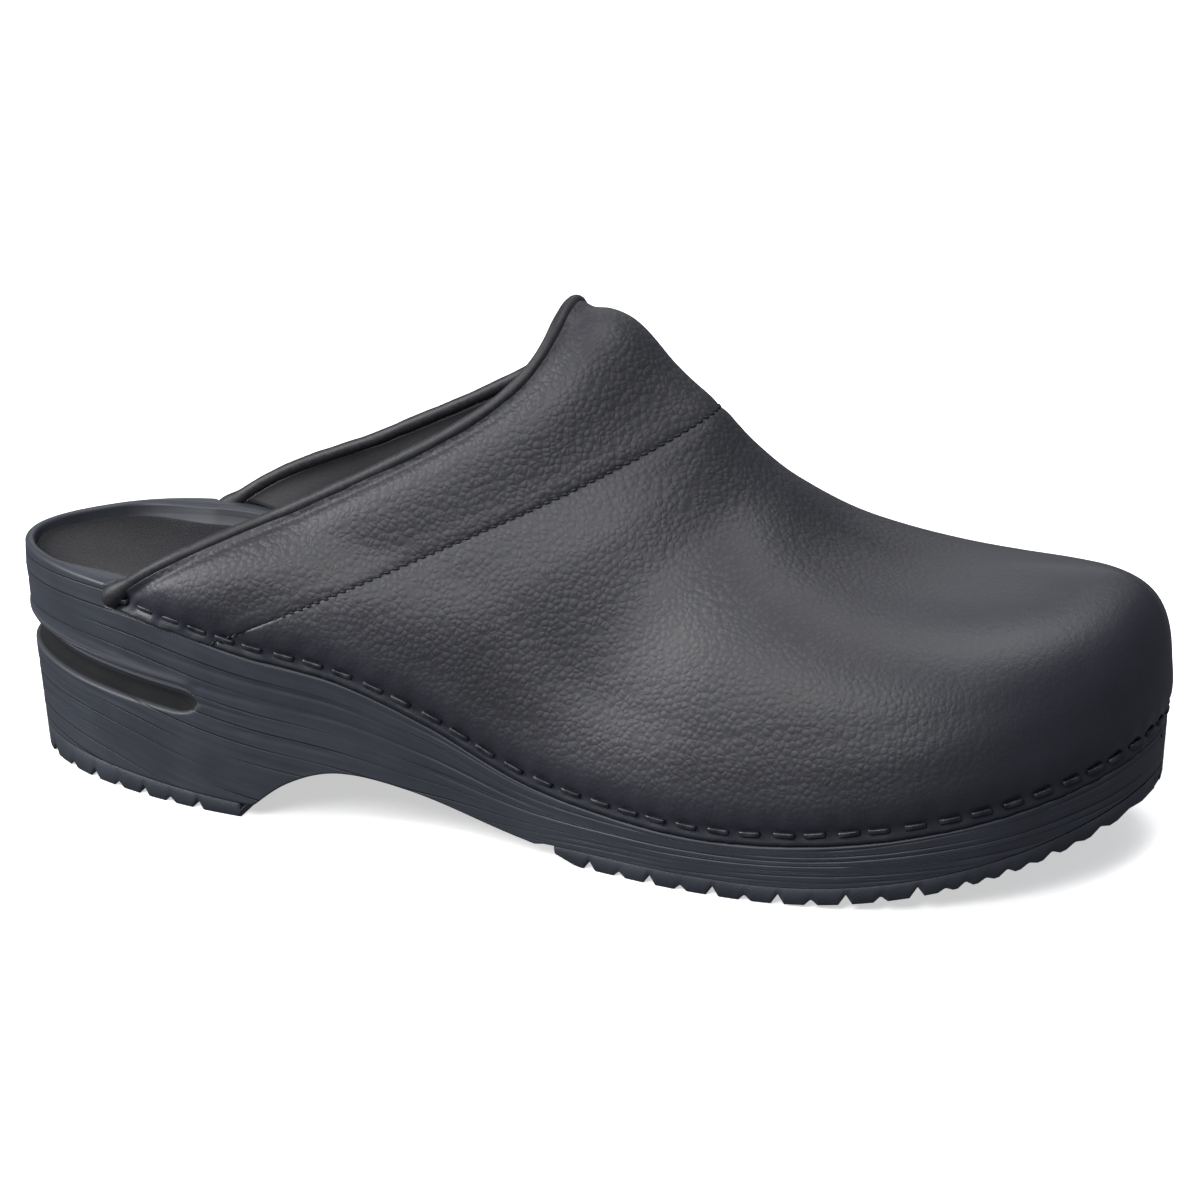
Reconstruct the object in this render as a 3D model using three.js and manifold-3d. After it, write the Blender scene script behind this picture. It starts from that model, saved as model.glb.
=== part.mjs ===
// A closed-toe, open-back clog for the right foot: moulded sole with a raised heel, two
// tread pads, a cushioned footbed and a lined leather upper stapled round the sole edge.
// Millimetres. +X is the toe, +Y the inner (medial) side, +Z up; the sole stands on z = 0.

import * as THREE from 'three';
import { LoftGeometry } from 'three/addons/geometries/LoftGeometry.js';
import { mergeGeometries, mergeVertices } from 'three/addons/utils/BufferGeometryUtils.js';
import Module from 'manifold-3d';

const wasm = await Module();
wasm.setup();

// ---- driving dimensions ----------------------------------------------------------------

const SOLE_LENGTH = 285.5;
const BALL_BREADTH = 111;
const GAP = 0.3; // clearance left between pieces that touch

// Half breadths at ten equal steps of a half turn from heel back to toe tip, each as a
// share of half the ball breadth, and how far the toe tip lies toward the inner side.
const OUTER_HALF_BREADTHS = [0.306, 0.586, 0.775, 0.825, 0.836, 0.996, 1.0, 0.793, 0.387];
const INNER_HALF_BREADTHS = [0.306, 0.582, 0.703, 0.694, 0.789, 0.912, 0.91, 0.804, 0.562];
const TOE_TIP_SHIFT = 6.4;

// Height of the leather's lower edge along the sole: [share of the length, mm].
const EDGE_HEIGHTS = [
  [0, 47.5], [0.14, 47.5], [0.26, 42], [0.345, 38.3], [0.42, 30.5], [0.5, 19.6],
  [0.57, 15.6], [0.68, 14], [0.785, 16.6], [0.89, 21.8], [0.975, 28], [1, 30.5],
];
const RIM_RISE = 6.5; // rim of the sole above the leather's lower edge
const HEEL_FRONT = 0.247; // share of the length where the heel ends on the ground
const ARCH = [[0.293, 10.5], [0.341, 15.2], [0.403, 13.2], [0.485, 6], [0.522, 3.4]];
const FOREFOOT_TREAD_START = 0.524;
const TOE_SPRING_START = 0.69;
const TOE_SPRING_RADIUS = 230;
const UNDERSIDE_INSETS = [[0, 4.5], [0.16, 3.5], [0.3, 2.5], [0.5, 2], [0.68, 1.5], [1, 1.5]];
const HEEL_TREAD_BACK = 7;
const HEEL_TREAD_FRONT = 3.6;
const FOREFOOT_TREAD = 4.3;

const LUG_PITCH = 8;
const DEEP_NOTCH = 2.4;
const SHALLOW_NOTCH = 1.3;
const NOTCH_HALF_WIDTH = 1.3;

const GROOVE_HALF_HEIGHT = 4;
const GROOVE_DEPTH = 2.5;
const GROOVE_BACK_HEIGHT = 33;
const GROOVE_FRONT_HEIGHT = 28;
const GROOVE_REACH = 0.152; // share of the outline from heel back to the groove's end
const GROOVE_TAPER = 0.07; // share of its reach over which each end rounds off
const GROOVE_TIP = 0.22; // size left at its very end, as a share

const RIM_LIP = 2.4;
const LIP_RAMP = 0.07; // share of the outline where the lip starts to widen
const LEG_COVER = 1; // sole material past the staples' tips
const BED_DROP = 1.5;
const HEEL_CUP = 6;
const BALL_CUP = 3;
const CUP_FADE = [0.3, 0.6]; // shares of the length between which one becomes the other
const HEEL_CENTRE = 0.17; // share of the length at the middle of the heel cup
const CUP_HALF_WIDTH = 0.37; // share of the ball breadth
const COVER = 1.2;
const CUSHION = 3;

const LEATHER = 2;
const LINING = 0.8;
const TOE_PUFF = 1;
const COLLAR_FOAM = 2.6;
const PIPING_RADIUS = 1.4;

// The upper is a family of ribs. Rib 0 runs up the toe tip, rib SEAM follows the joint
// between vamp and quarter, and rib 1 follows the topline.
const SEAM = 0.75;
const SEAM_REACH = 0.342; // shares of the outline from the toe tip to each rib's foot
const BACK_REACH = 0.385;
// Crest of the upper: [rib, share of the sole length, height].
const CREST = [
  [0, 0.872, 68.5], [0.125, 0.823, 66.2], [0.25, 0.778, 66.8], [0.375, 0.732, 72.5],
  [0.5, 0.69, 82.3], [0.625, 0.653, 92], [0.75, 0.623, 101], [0.84, 0.581, 110],
  [0.92, 0.543, 120.3], [1, 0.501, 124.3],
];
const CREST_SHIFT_TOE = 9;
const CREST_SHIFT_BACK = -1.3;
// Exponents of the rib arch: small is boxy, 1 is elliptical.
const TOE_SQUARENESS = 0.38;
const BACK_RISE_SQUARENESS = 1.19;
const BACK_RUN_SQUARENESS = 1.02;
const TOE_BULGE = 0.9;
const SEAM_SWEEP = 0.02; // how far ahead of a straight slope each line runs, as a share
const TOPLINE_SWEEP = 0.16;
const TOPLINE_UPRIGHT = 0.12; // how far it lags where it leaves the sole, up to UPRIGHT_END
const UPRIGHT_END = 0.35;
const HUG_HEIGHT = 26; // the leather leaves the line of the sole edge below this height
const HUG_RAMP = 0.4; // share of the way from toe to seam over which that sets in
const SWEEP_POWER = 1.8; // above 1 the sweep lies nearer the crest
const TOE_PUFF_END = 0.29;
const BELOW_TOPLINE = 0.96; // rib just under the topline, which gives its edge a direction

const STAPLE_PITCH = 7.7;
const STAPLE_CROWN = 5.2;
const STAPLE_WIRE = 1.2;
const STAPLE_LEG = 6.5;
const STAPLE_RISE = 3;
const STAPLE_LIMIT = 46; // separate staples made here, from the outer back end onward
const POCKET_REACH = 3; // how far a staple's pocket is cut outside the leather

const OUTLINE_STEPS = 64;
const LENGTH_STEPS = 40;
const ARCH_STEPS = 16;
const TOE_STEPS = 10;
const BED_STEPS = 22;
const BED_ACROSS = 10;
const GROOVE_STEPS = 24;
const MARGIN_STEPS = 120;
const SIDE_STEPS = 8; // steps up one side of a rib
const FOOT_CROWDING = 1.4; // above 1 the steps are closer together near the sole
const VAMP_STEPS = 18;
const COLLAR_STEPS = 6;
const HIGH = 90; // a level above the whole sole
const OVERSHOOT = 9; // how far cutting solids run past both ends of the sole

// ---- materials ---------------------------------------------------------------------------

function finish(color, roughness, metalness = 0) {
  return () => new THREE.MeshStandardMaterial({ color, roughness, metalness });
}

const soleFinish = finish(0x1f2226, 0.55);
const treadFinish = finish(0x17181a, 0.8);
const leatherFinish = finish(0x2f2f33, 0.5);
const liningFinish = finish(0x1b1b1c, 0.9);
const suedeFinish = finish(0x232324, 0.95);
const foamFinish = finish(0x3a3a3c, 0.95);
const stapleFinish = finish(0x2a2b2f, 0.4, 0.7);

// ---- curves ------------------------------------------------------------------------------

const { lerp, smoothstep } = THREE.MathUtils;

// Smooth curve through [position, value] pairs, extended straight past its ends.
function profile(points) {
  const slopes = points.map((point, i) => {
    const before = points[Math.max(i - 1, 0)];
    const after = points[Math.min(i + 1, points.length - 1)];
    return (after[1] - before[1]) / (after[0] - before[0]);
  });
  return (x) => {
    const last = points.length - 1;
    if (x <= points[0][0]) return points[0][1] + slopes[0] * (x - points[0][0]);
    if (x >= points[last][0]) return points[last][1] + slopes[last] * (x - points[last][0]);
    const i = points.findIndex((point) => point[0] > x) - 1;
    const width = points[i + 1][0] - points[i][0];
    const s = (x - points[i][0]) / width;
    return (
      (1 + 2 * s) * (1 - s) ** 2 * points[i][1] +
      s * (1 - s) ** 2 * width * slopes[i] +
      s ** 2 * (3 - 2 * s) * points[i + 1][1] +
      s ** 2 * (s - 1) * width * slopes[i + 1]
    );
  };
}

const HEEL_BACK = -SOLE_LENGTH / 2;

function station(share) {
  return HEEL_BACK + share * SOLE_LENGTH;
}

function alongSole(pairs) {
  return profile(pairs.map(([share, value]) => [station(share), value]));
}

const edgeHeight = alongSole(EDGE_HEIGHTS);
const undersideInset = alongSole(UNDERSIDE_INSETS);

function rimHeight(x) {
  return edgeHeight(x) + RIM_RISE;
}

function outlineCurve() {
  const stepShare = (k) => (1 - Math.cos((k * Math.PI) / 10)) / 2;
  const half = BALL_BREADTH / 2;
  const side = (shares, sign) =>
    shares.map((share, i) => new THREE.Vector3(station(stepShare(i + 1)), sign * share * half, 0));
  const points = [
    new THREE.Vector3(station(0), 0, 0),
    ...side(OUTER_HALF_BREADTHS, -1),
    new THREE.Vector3(station(1), TOE_TIP_SHIFT, 0),
    ...side(INNER_HALF_BREADTHS, 1).reverse(),
  ];
  return new THREE.CatmullRomCurve3(points, true, 'catmullrom', 0.5);
}

const outline = outlineCurve();

// Direction square to the outline and out of the shoe at t (0 heel back, 0.5 toe tip).
function outwardAt(t) {
  const tangent = outline.getTangent(THREE.MathUtils.euclideanModulo(t, 1));
  return new THREE.Vector3(tangent.y, -tangent.x, 0).normalize();
}

// Point of the sole outline at t, moved inward by inset.
function rimPoint(t, inset = 0) {
  const point = outline.getPoint(THREE.MathUtils.euclideanModulo(t, 1));
  return point.addScaledVector(outwardAt(t), -inset);
}

// ---- solids ------------------------------------------------------------------------------

function toSolid(geometry) {
  const bare = new THREE.BufferGeometry();
  bare.setAttribute('position', geometry.attributes.position);
  bare.setIndex(geometry.index);
  const merged = mergeVertices(bare, 1e-4);
  return new wasm.Manifold(
    new wasm.Mesh({
      numProp: 3,
      vertProperties: new Float32Array(merged.attributes.position.array),
      triVerts: new Uint32Array(merged.index.array),
    }),
  );
}

function toGeometry(solid) {
  const mesh = solid.getMesh();
  const geometry = new THREE.BufferGeometry();
  geometry.setAttribute('position', new THREE.BufferAttribute(mesh.vertProperties, 3));
  geometry.setIndex(new THREE.BufferAttribute(mesh.triVerts, 1));
  const flat = geometry.toNonIndexed();
  flat.computeVertexNormals();
  return flat;
}

// Straight-sided solid whose side view is the closed list of [x, z] points.
function sideSolid(points) {
  const reach = BALL_BREADTH;
  const shape = new THREE.Shape(points.map(([x, z]) => new THREE.Vector2(x, z)));
  const geometry = new THREE.ExtrudeGeometry(shape, { depth: 2 * reach, bevelEnabled: false });
  geometry.rotateX(Math.PI / 2);
  geometry.translate(0, reach, 0);
  return toSolid(geometry);
}

// Solid standing on the edge of the footbed moved inward by inset. A narrow lip of the sole
// stays outside it at the open heel, and a wider one where staples go in.
function footbedSolid(inset, bottom, top) {
  const points = [];
  for (let i = 0; i < OUTLINE_STEPS; i += 1) {
    const t = i / OUTLINE_STEPS;
    const stapled = smoothstep(Math.min(t, 1 - t), LIP_RAMP, 0.5 - BACK_REACH);
    const lip = lerp(RIM_LIP, STAPLE_LEG + GAP + LEG_COVER, stapled);
    const point = rimPoint(t, lip + inset);
    points.push(new THREE.Vector2(point.x, point.y));
  }
  const geometry = new THREE.ExtrudeGeometry(new THREE.Shape(points), {
    depth: top - bottom,
    bevelEnabled: false,
  });
  geometry.translate(0, 0, bottom);
  return toSolid(geometry);
}

function middleOf(section) {
  const sum = section.reduce((total, point) => total.add(point), new THREE.Vector3());
  return sum.divideScalar(section.length);
}

// Solid through a row of closed sections, turned so that its faces point outward.
function loft(sections) {
  const last = sections.at(-1);
  const centre = middleOf(last);
  const travel = centre.clone().sub(middleOf(sections.at(-2)));
  const area = new THREE.Vector3();
  last.forEach((point, i) => {
    const next = last[(i + 1) % last.length].clone().sub(centre);
    area.add(point.clone().sub(centre).cross(next));
  });
  const rings = area.dot(travel) > 0 ? sections : sections.map((ring) => [...ring].reverse());
  return toSolid(new LoftGeometry(rings, { capStart: true, capEnd: true }));
}

function steps(from, to, count, make) {
  return Array.from({ length: count + 1 }, (_, i) => make(lerp(from, to, i / count)));
}

// Directions of the corners of an eight-sided ring.
const RING = steps(0, 7 / 8, 7, (turn) => 2 * Math.PI * turn);

// Ribs where the upper's layers have their sections, and where the sole's ledge turns.
const RIB_SPAN = 90; // one rib unit measured along the sole edge by the seam
const SEAM_GAP = GAP / RIB_SPAN;
const VAMP_RIBS = steps(0, SEAM - SEAM_GAP, VAMP_STEPS, (rib) => rib);
const COLLAR_RIBS = steps(SEAM + SEAM_GAP, 1, COLLAR_STEPS, (rib) => rib);

// ---- the sole ----------------------------------------------------------------------------

function groundLine(x) {
  return Math.max(0, x - station(TOE_SPRING_START)) ** 2 / (2 * TOE_SPRING_RADIUS);
}

function heelTreadTop(x) {
  const share = (x - HEEL_BACK) / (station(HEEL_FRONT) - HEEL_BACK);
  return lerp(HEEL_TREAD_BACK, HEEL_TREAD_FRONT, share);
}

// The sole's tapered wall: upright above the leather edge, drawn in toward the ground.
function wallSolid() {
  const ring = (inset, height) =>
    steps(0, 1 - 1 / OUTLINE_STEPS, OUTLINE_STEPS - 1, (t) => {
      const rim = rimPoint(t);
      const point = rimPoint(t, inset(rim.x));
      point.z = height(rim.x);
      return point;
    });
  const upright = () => 0;
  return loft([
    ring(undersideInset, () => -GAP),
    ring(upright, edgeHeight),
    ring(upright, () => HIGH),
  ]);
}

function topLine() {
  const reach = SOLE_LENGTH / 2 + GAP;
  return steps(reach, -reach, LENGTH_STEPS, (x) => [x, rimHeight(x)]);
}

function treadSeatLine() {
  const start = station(FOREFOOT_TREAD_START);
  const seat = (x) => [x, groundLine(x) + FOREFOOT_TREAD + GAP];
  const toe = steps(station(TOE_SPRING_START), SOLE_LENGTH / 2 + GAP, TOE_STEPS, seat);
  return [seat(start), ...toe];
}

function archLine() {
  const arch = alongSole([[HEEL_FRONT, 0], ...ARCH]);
  const tread = heelTreadTop(station(HEEL_FRONT)) + GAP;
  const point = (x) => [x, Math.max(arch(x), tread)];
  return steps(station(HEEL_FRONT), station(ARCH.at(-1)[0]), ARCH_STEPS, point);
}

// Height of the footbed's surface: a cup at the heel that flattens toward the ball.
function bedHeight(x, y) {
  const [start, end] = CUP_FADE.map(station);
  const cup = lerp(HEEL_CUP, BALL_CUP, smoothstep(x, start, end));
  const behind = Math.min(0, x - station(HEEL_CENTRE)) / (HEEL_CENTRE * SOLE_LENGTH);
  const across = y / (BALL_BREADTH * CUP_HALF_WIDTH);
  return rimHeight(x) - BED_DROP - cup * (1 - Math.min(1, behind ** 2 + across ** 2));
}

// Everything above the footbed surface lowered by drop.
function aboveBed(drop) {
  const reach = BALL_BREADTH / 2 + OVERSHOOT;
  const section = (x) => {
    const point = (y) => new THREE.Vector3(x, y, bedHeight(x, y) - drop);
    const floor = steps(-reach, reach, BED_ACROSS, point);
    const roof = new THREE.Vector3(x, reach, HIGH);
    return [...floor, roof, new THREE.Vector3(x, -reach, HIGH)];
  };
  const end = SOLE_LENGTH / 2 + OVERSHOOT;
  return loft(steps(-end, end, BED_STEPS, section));
}

function bedLayer(inset, top, bottom) {
  return footbedSolid(inset, 0, HIGH - GAP).intersect(aboveBed(bottom).subtract(aboveBed(top)));
}

// Finger groove round the back of the heel, round-ended on both sides.
function grooveSolid() {
  const section = (t) => {
    const reach = Math.abs(t) / GROOVE_REACH;
    const taper = Math.max(0, 1 + (reach - 1) / GROOVE_TAPER);
    const size = Math.max(GROOVE_TIP, Math.sqrt(Math.max(0, 1 - taper ** 2)));
    const height = lerp(GROOVE_BACK_HEIGHT, GROOVE_FRONT_HEIGHT, reach);
    const rim = rimPoint(t);
    const inset = undersideInset(rim.x) * (1 - height / edgeHeight(rim.x));
    return RING.map((angle) => {
      const point = rimPoint(t, inset + size * GROOVE_DEPTH * Math.cos(angle));
      point.z = height + size * GROOVE_HALF_HEIGHT * Math.sin(angle);
      return point;
    });
  };
  const ends = steps(-1, GROOVE_TAPER - 1, 3, (share) => share * GROOVE_REACH);
  const inner = 1 - 2 * GROOVE_TAPER;
  const middle = steps(-inner, inner, GROOVE_STEPS, (share) => share * GROOVE_REACH);
  const turns = [...ends, ...middle, ...ends.map((t) => -t).reverse()];
  return loft(turns.map(section));
}

// Ledge round the sole edge that seats the leather's lower margin.
function ledgeSolid() {
  const section = (t) => {
    const corner = (inset, rise) => {
      const point = rimPoint(t, inset);
      point.z = edgeHeight(rimPoint(t).x) + rise;
      return point;
    };
    const deep = LEATHER + GAP;
    return [corner(-deep, 0), corner(-deep, HIGH), corner(deep, HIGH), corner(deep, 0)];
  };
  const ribs = [...VAMP_RIBS, ...COLLAR_RIBS, 1 + SEAM_GAP];
  const outer = ribs.map((rib) => footTurn(-1, rib)).reverse();
  const inner = ribs.slice(1).map((rib) => footTurn(1, rib));
  return loft([...outer, ...inner].map(section));
}

function soleSolid(pockets) {
  const side = sideSolid([
    ...topLine(),
    [HEEL_BACK - GAP, heelTreadTop(HEEL_BACK) + GAP],
    ...archLine(),
    ...treadSeatLine(),
  ]);
  const recess = footbedSolid(0, 0, HIGH - GAP).intersect(aboveBed(COVER + CUSHION + 2 * GAP));
  let sole = wallSolid().intersect(side);
  [ledgeSolid(), recess, grooveSolid(), ...pockets].forEach((cut) => {
    sole = sole.subtract(cut);
  });
  return sole;
}

// Alternating deep and shallow notches across a tread, centred on its length.
function cutNotches(tread, from, to) {
  const count = Math.floor((to - from) / LUG_PITCH);
  const first = (from + to - count * LUG_PITCH) / 2;
  let result = tread;
  for (let i = 0; i <= count; i += 1) {
    const x = first + i * LUG_PITCH;
    const depth = i % 2 ? SHALLOW_NOTCH : DEEP_NOTCH;
    const ground = groundLine(x);
    const notch = sideSolid([
      [x - NOTCH_HALF_WIDTH, ground - 1],
      [x + NOTCH_HALF_WIDTH, ground - 1],
      [x + NOTCH_HALF_WIDTH / 2, ground + depth],
      [x - NOTCH_HALF_WIDTH / 2, ground + depth],
    ]);
    result = result.subtract(notch);
  }
  return result;
}

function heelTreadSolid() {
  const front = station(HEEL_FRONT);
  const side = sideSolid([
    [HEEL_BACK - GAP, 0],
    [front, 0],
    [front + HEEL_TREAD_FRONT, HEEL_TREAD_FRONT],
    [HEEL_BACK - GAP, HEEL_TREAD_BACK],
  ]);
  const tread = wallSolid().intersect(side);
  return cutNotches(tread, HEEL_BACK + LUG_PITCH, front - LUG_PITCH);
}

function forefootTreadSolid() {
  const start = station(FOREFOOT_TREAD_START);
  const ends = [station(TOE_SPRING_START), SOLE_LENGTH / 2 + GAP];
  const side = sideSolid([
    [start, 0],
    ...steps(ends[0], ends[1], TOE_STEPS, (x) => [x, groundLine(x)]),
    ...steps(ends[1], ends[0], TOE_STEPS, (x) => [x, groundLine(x) + FOREFOOT_TREAD]),
    [start + FOREFOOT_TREAD, FOREFOOT_TREAD],
    [start + GAP, ARCH.at(-1)[1] / 2],
  ]);
  const tread = wallSolid().intersect(side);
  return cutNotches(tread, start + LUG_PITCH, SOLE_LENGTH / 2 - LUG_PITCH);
}

// ---- the upper ---------------------------------------------------------------------------

const crestX = profile(CREST.map(([rib, share]) => [rib, station(share)]));
const crestZ = profile(CREST.map(([rib, , height]) => [rib, height]));

// Outline position of a rib's foot. side is -1 outer or 1 inner.
function footTurn(side, rib) {
  const toSeam = Math.min(1, rib / SEAM);
  const pastSeam = Math.max(0, (rib - SEAM) / (1 - SEAM));
  return 0.5 + side * (toSeam * SEAM_REACH + pastSeam * (BACK_REACH - SEAM_REACH));
}

// y of the sole edge at x on one side, moved inward by inset.
function edgeSide(side, x, inset) {
  let low = 0;
  let high = 0.5;
  for (let i = 0; i < 24; i += 1) {
    const middle = (low + high) / 2;
    if (outline.getPoint(0.5 + side * middle).x > x) low = middle;
    else high = middle;
  }
  const t = 0.5 + side * low;
  const outward = outwardAt(t);
  return outline.getPoint(t).y - inset / outward.y;
}

// One side of a rib, from its foot on the sole edge up to the crest.
// depth is how far the layer lies inside the leather's face.
function ribSide(side, rib, depth) {
  const toSeam = Math.min(1, rib / SEAM);
  const pastSeam = Math.max(0, (rib - SEAM) / (1 - SEAM));
  const t = footTurn(side, rib);
  const outward = outwardAt(t);
  const foot = rimPoint(t, depth);
  foot.z = edgeHeight(rimPoint(t).x) + GAP;
  const shift = lerp(CREST_SHIFT_TOE, CREST_SHIFT_BACK, toSeam);
  const crest = new THREE.Vector3(crestX(rib), shift, crestZ(rib) - depth);
  const lean = smoothstep(toSeam, 0, 1);
  const sweep = lerp(SEAM_SWEEP * lean, TOPLINE_SWEEP, pastSeam);
  const risePower = lerp(TOE_SQUARENESS, BACK_RISE_SQUARENESS, toSeam);
  const runPower = lerp(TOE_SQUARENESS, BACK_RUN_SQUARENESS, toSeam);
  const points = steps(0, Math.PI / 2, 8 * SIDE_STEPS, (angle) => {
    const rise = Math.sin(angle) ** risePower;
    const run = 1 - Math.max(0, Math.cos(angle)) ** runPower;
    const lag = pastSeam * TOPLINE_UPRIGHT * Math.sin(Math.PI * Math.min(1, rise / UPRIGHT_END));
    const leaning = rise + sweep * Math.sin(Math.PI * rise ** SWEEP_POWER) - lag;
    const bulge = TOE_BULGE * Math.sin(Math.PI * rise) * (1 - toSeam);
    const x = lerp(foot.x, crest.x, lerp(run, leaning, lean));
    const above = rise * (crest.z - foot.z);
    const low = 1 - smoothstep(above, RIM_RISE, HUG_HEIGHT);
    const hug = low * smoothstep(toSeam, 0, HUG_RAMP);
    const y = lerp(foot.y, crest.y, run);
    return new THREE.Vector3(
      x + outward.x * bulge,
      (hug > 0 ? lerp(y, edgeSide(side, x, depth), hug) : y) + outward.y * bulge,
      foot.z + above,
    );
  });
  const curve = new THREE.CatmullRomCurve3(points);
  curve.arcLengthDivisions = points.length * 4;
  return steps(0, 1, SIDE_STEPS, (along) => curve.getPointAt(along ** FOOT_CROWDING));
}

function ribPoints(rib, depth) {
  const outer = ribSide(-1, rib, depth);
  const inner = ribSide(1, rib, depth).reverse();
  return [...outer, ...inner.slice(1)];
}

// Grid of faces through rows of points; flip turns it to face the other way.
function sheet(rows, flip = false) {
  const columns = rows[0].length - 1;
  const geometry = new THREE.PlaneGeometry(1, 1, columns, rows.length - 1);
  rows.flat().forEach((point, i) => geometry.attributes.position.setXYZ(i, ...point));
  if (flip) geometry.index.array.reverse();
  return geometry;
}

// Layer of the upper over a list of ribs and between two depths. One that starts on rib 0
// folds shut there, because both halves of that rib are the same line.
function layer(ribs, outerDepth, innerDepth) {
  const outer = ribs.map((rib) => ribPoints(rib, outerDepth).reverse());
  const inner = ribs.map((rib) => ribPoints(rib, innerDepth).reverse());
  const edge = (pick) => [outer.map(pick), inner.map(pick)];
  const parts = [
    sheet(outer),
    sheet(inner, true),
    sheet(edge((row) => row[0])),
    sheet(edge((row) => row.at(-1)), true),
    sheet([outer.at(-1), inner.at(-1)]),
  ];
  if (ribs[0] > 0) parts.push(sheet([outer[0], inner[0]], true));
  return toSolid(mergeGeometries(parts));
}

// Everything lower than the sole rim, which the inner layers stay above.
function belowRim() {
  const end = SOLE_LENGTH / 2 + OVERSHOOT;
  const line = steps(end, -end, LENGTH_STEPS, (x) => [x, rimHeight(x) + GAP]);
  return sideSolid([[-end, 0], [end, 0], ...line]);
}

// Rolled binding that sits on the topline edge, following the edge's own facets.
function pipingSolid() {
  const edge = ribPoints(1, LEATHER / 2);
  const behind = ribPoints(BELOW_TOPLINE, LEATHER / 2);
  const sections = edge.slice(1, -1).map((point, i) => {
    const along = edge[i + 2].clone().sub(edge[i]).normalize();
    const across = point.clone().sub(behind[i + 1]).projectOnPlane(along).normalize();
    const facing = new THREE.Vector3().crossVectors(along, across);
    const centre = point.clone().addScaledVector(across, PIPING_RADIUS + 2 * GAP);
    return RING.map((angle) =>
      centre
        .clone()
        .addScaledVector(across, PIPING_RADIUS * Math.cos(angle))
        .addScaledVector(facing, PIPING_RADIUS * Math.sin(angle)),
    );
  });
  return loft(sections);
}

// ---- staples -----------------------------------------------------------------------------

// Frames spaced along the leather margin: x runs along the edge, y points outward.
function staplePlaces() {
  const margin = new THREE.CatmullRomCurve3(
    steps(0.5 - BACK_REACH, 0.5 + BACK_REACH, MARGIN_STEPS, (t) => {
      const point = rimPoint(t);
      point.z = edgeHeight(point.x) + STAPLE_RISE;
      return point;
    }),
  );
  margin.arcLengthDivisions = 4 * MARGIN_STEPS;
  const count = Math.floor(margin.getLength() / STAPLE_PITCH);
  return Array.from({ length: count }, (_, i) => {
    const along = (i + 0.5) / count;
    const tangent = margin.getTangentAt(along);
    const outward = new THREE.Vector3(tangent.y, -tangent.x, 0).normalize();
    const up = new THREE.Vector3().crossVectors(tangent, outward);
    const frame = new THREE.Matrix4().makeBasis(tangent, outward, up);
    return frame.setPosition(margin.getPointAt(along));
  });
}

function stapleGeometry() {
  const half = STAPLE_CROWN / 2;
  const inner = half - STAPLE_WIRE;
  const shape = new THREE.Shape([
    new THREE.Vector2(-half, 0),
    new THREE.Vector2(-half, -STAPLE_LEG),
    new THREE.Vector2(-inner, -STAPLE_LEG),
    new THREE.Vector2(-inner, -STAPLE_WIRE),
    new THREE.Vector2(inner, -STAPLE_WIRE),
    new THREE.Vector2(inner, -STAPLE_LEG),
    new THREE.Vector2(half, -STAPLE_LEG),
    new THREE.Vector2(half, 0),
  ]);
  const geometry = new THREE.ExtrudeGeometry(shape, { depth: STAPLE_WIRE, bevelEnabled: false });
  return geometry.translate(0, 0, -STAPLE_WIRE / 2);
}

// Slot through leather and into the sole that holds one staple.
function pocketSolid(place) {
  const geometry = new THREE.BoxGeometry(
    STAPLE_CROWN + 2 * GAP,
    STAPLE_LEG + GAP + POCKET_REACH,
    STAPLE_WIRE + 2 * GAP,
  );
  geometry.translate(0, (POCKET_REACH - STAPLE_LEG - GAP) / 2, 0);
  return toSolid(geometry.applyMatrix4(place));
}

// ---- assembly ----------------------------------------------------------------------------

const model = new THREE.Group();

function addMesh(name, geometry, material) {
  const mesh = new THREE.Mesh(geometry, material());
  mesh.name = name;
  model.add(mesh);
  return mesh;
}

const places = staplePlaces().slice(0, STAPLE_LIMIT);
const pockets = places.map(pocketSolid);

function withPockets(solid) {
  return pockets.reduce((left, pocket) => left.subtract(pocket), solid);
}

const liningDepth = LEATHER + GAP;
const puffRibs = VAMP_RIBS.filter((rib) => rib < TOE_PUFF_END);
const vampLiningDepth = liningDepth + TOE_PUFF + GAP;
const collarLiningDepth = liningDepth + COLLAR_FOAM + GAP;
const low = belowRim();

function addSolid(name, solid, material) {
  addMesh(name, toGeometry(solid), material);
}

addSolid('sole_block', soleSolid(pockets), soleFinish);
addSolid('heel_tread', heelTreadSolid(), treadFinish);
addSolid('forefoot_tread', forefootTreadSolid(), treadFinish);
const cushionTop = COVER + GAP;
addSolid('footbed_cushion', bedLayer(GAP, cushionTop, cushionTop + CUSHION), foamFinish);
addSolid('footbed_cover', bedLayer(GAP, 0, COVER), suedeFinish);
addSolid('vamp', withPockets(layer(VAMP_RIBS, 0, LEATHER)), leatherFinish);
addSolid('quarter', withPockets(layer(COLLAR_RIBS, 0, LEATHER)), leatherFinish);

const puff = layer(puffRibs, liningDepth, liningDepth + TOE_PUFF);
addSolid('toe_puff', puff.subtract(low), foamFinish);
const vampLining = layer(VAMP_RIBS, vampLiningDepth, vampLiningDepth + LINING);
addSolid('vamp_lining', vampLining.subtract(low), liningFinish);
const foam = layer(COLLAR_RIBS, liningDepth, liningDepth + COLLAR_FOAM);
addSolid('collar_padding', foam.subtract(low), foamFinish);
const collarLining = layer(COLLAR_RIBS, collarLiningDepth, collarLiningDepth + LINING);
addSolid('collar_lining', collarLining.subtract(low), liningFinish);
addSolid('topline_piping', pipingSolid().subtract(low), leatherFinish);

places.forEach((place, i) => {
  const staple = addMesh(`staple_${String(i + 1).padStart(2, '0')}`, stapleGeometry(), stapleFinish);
  staple.applyMatrix4(place);
});

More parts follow.
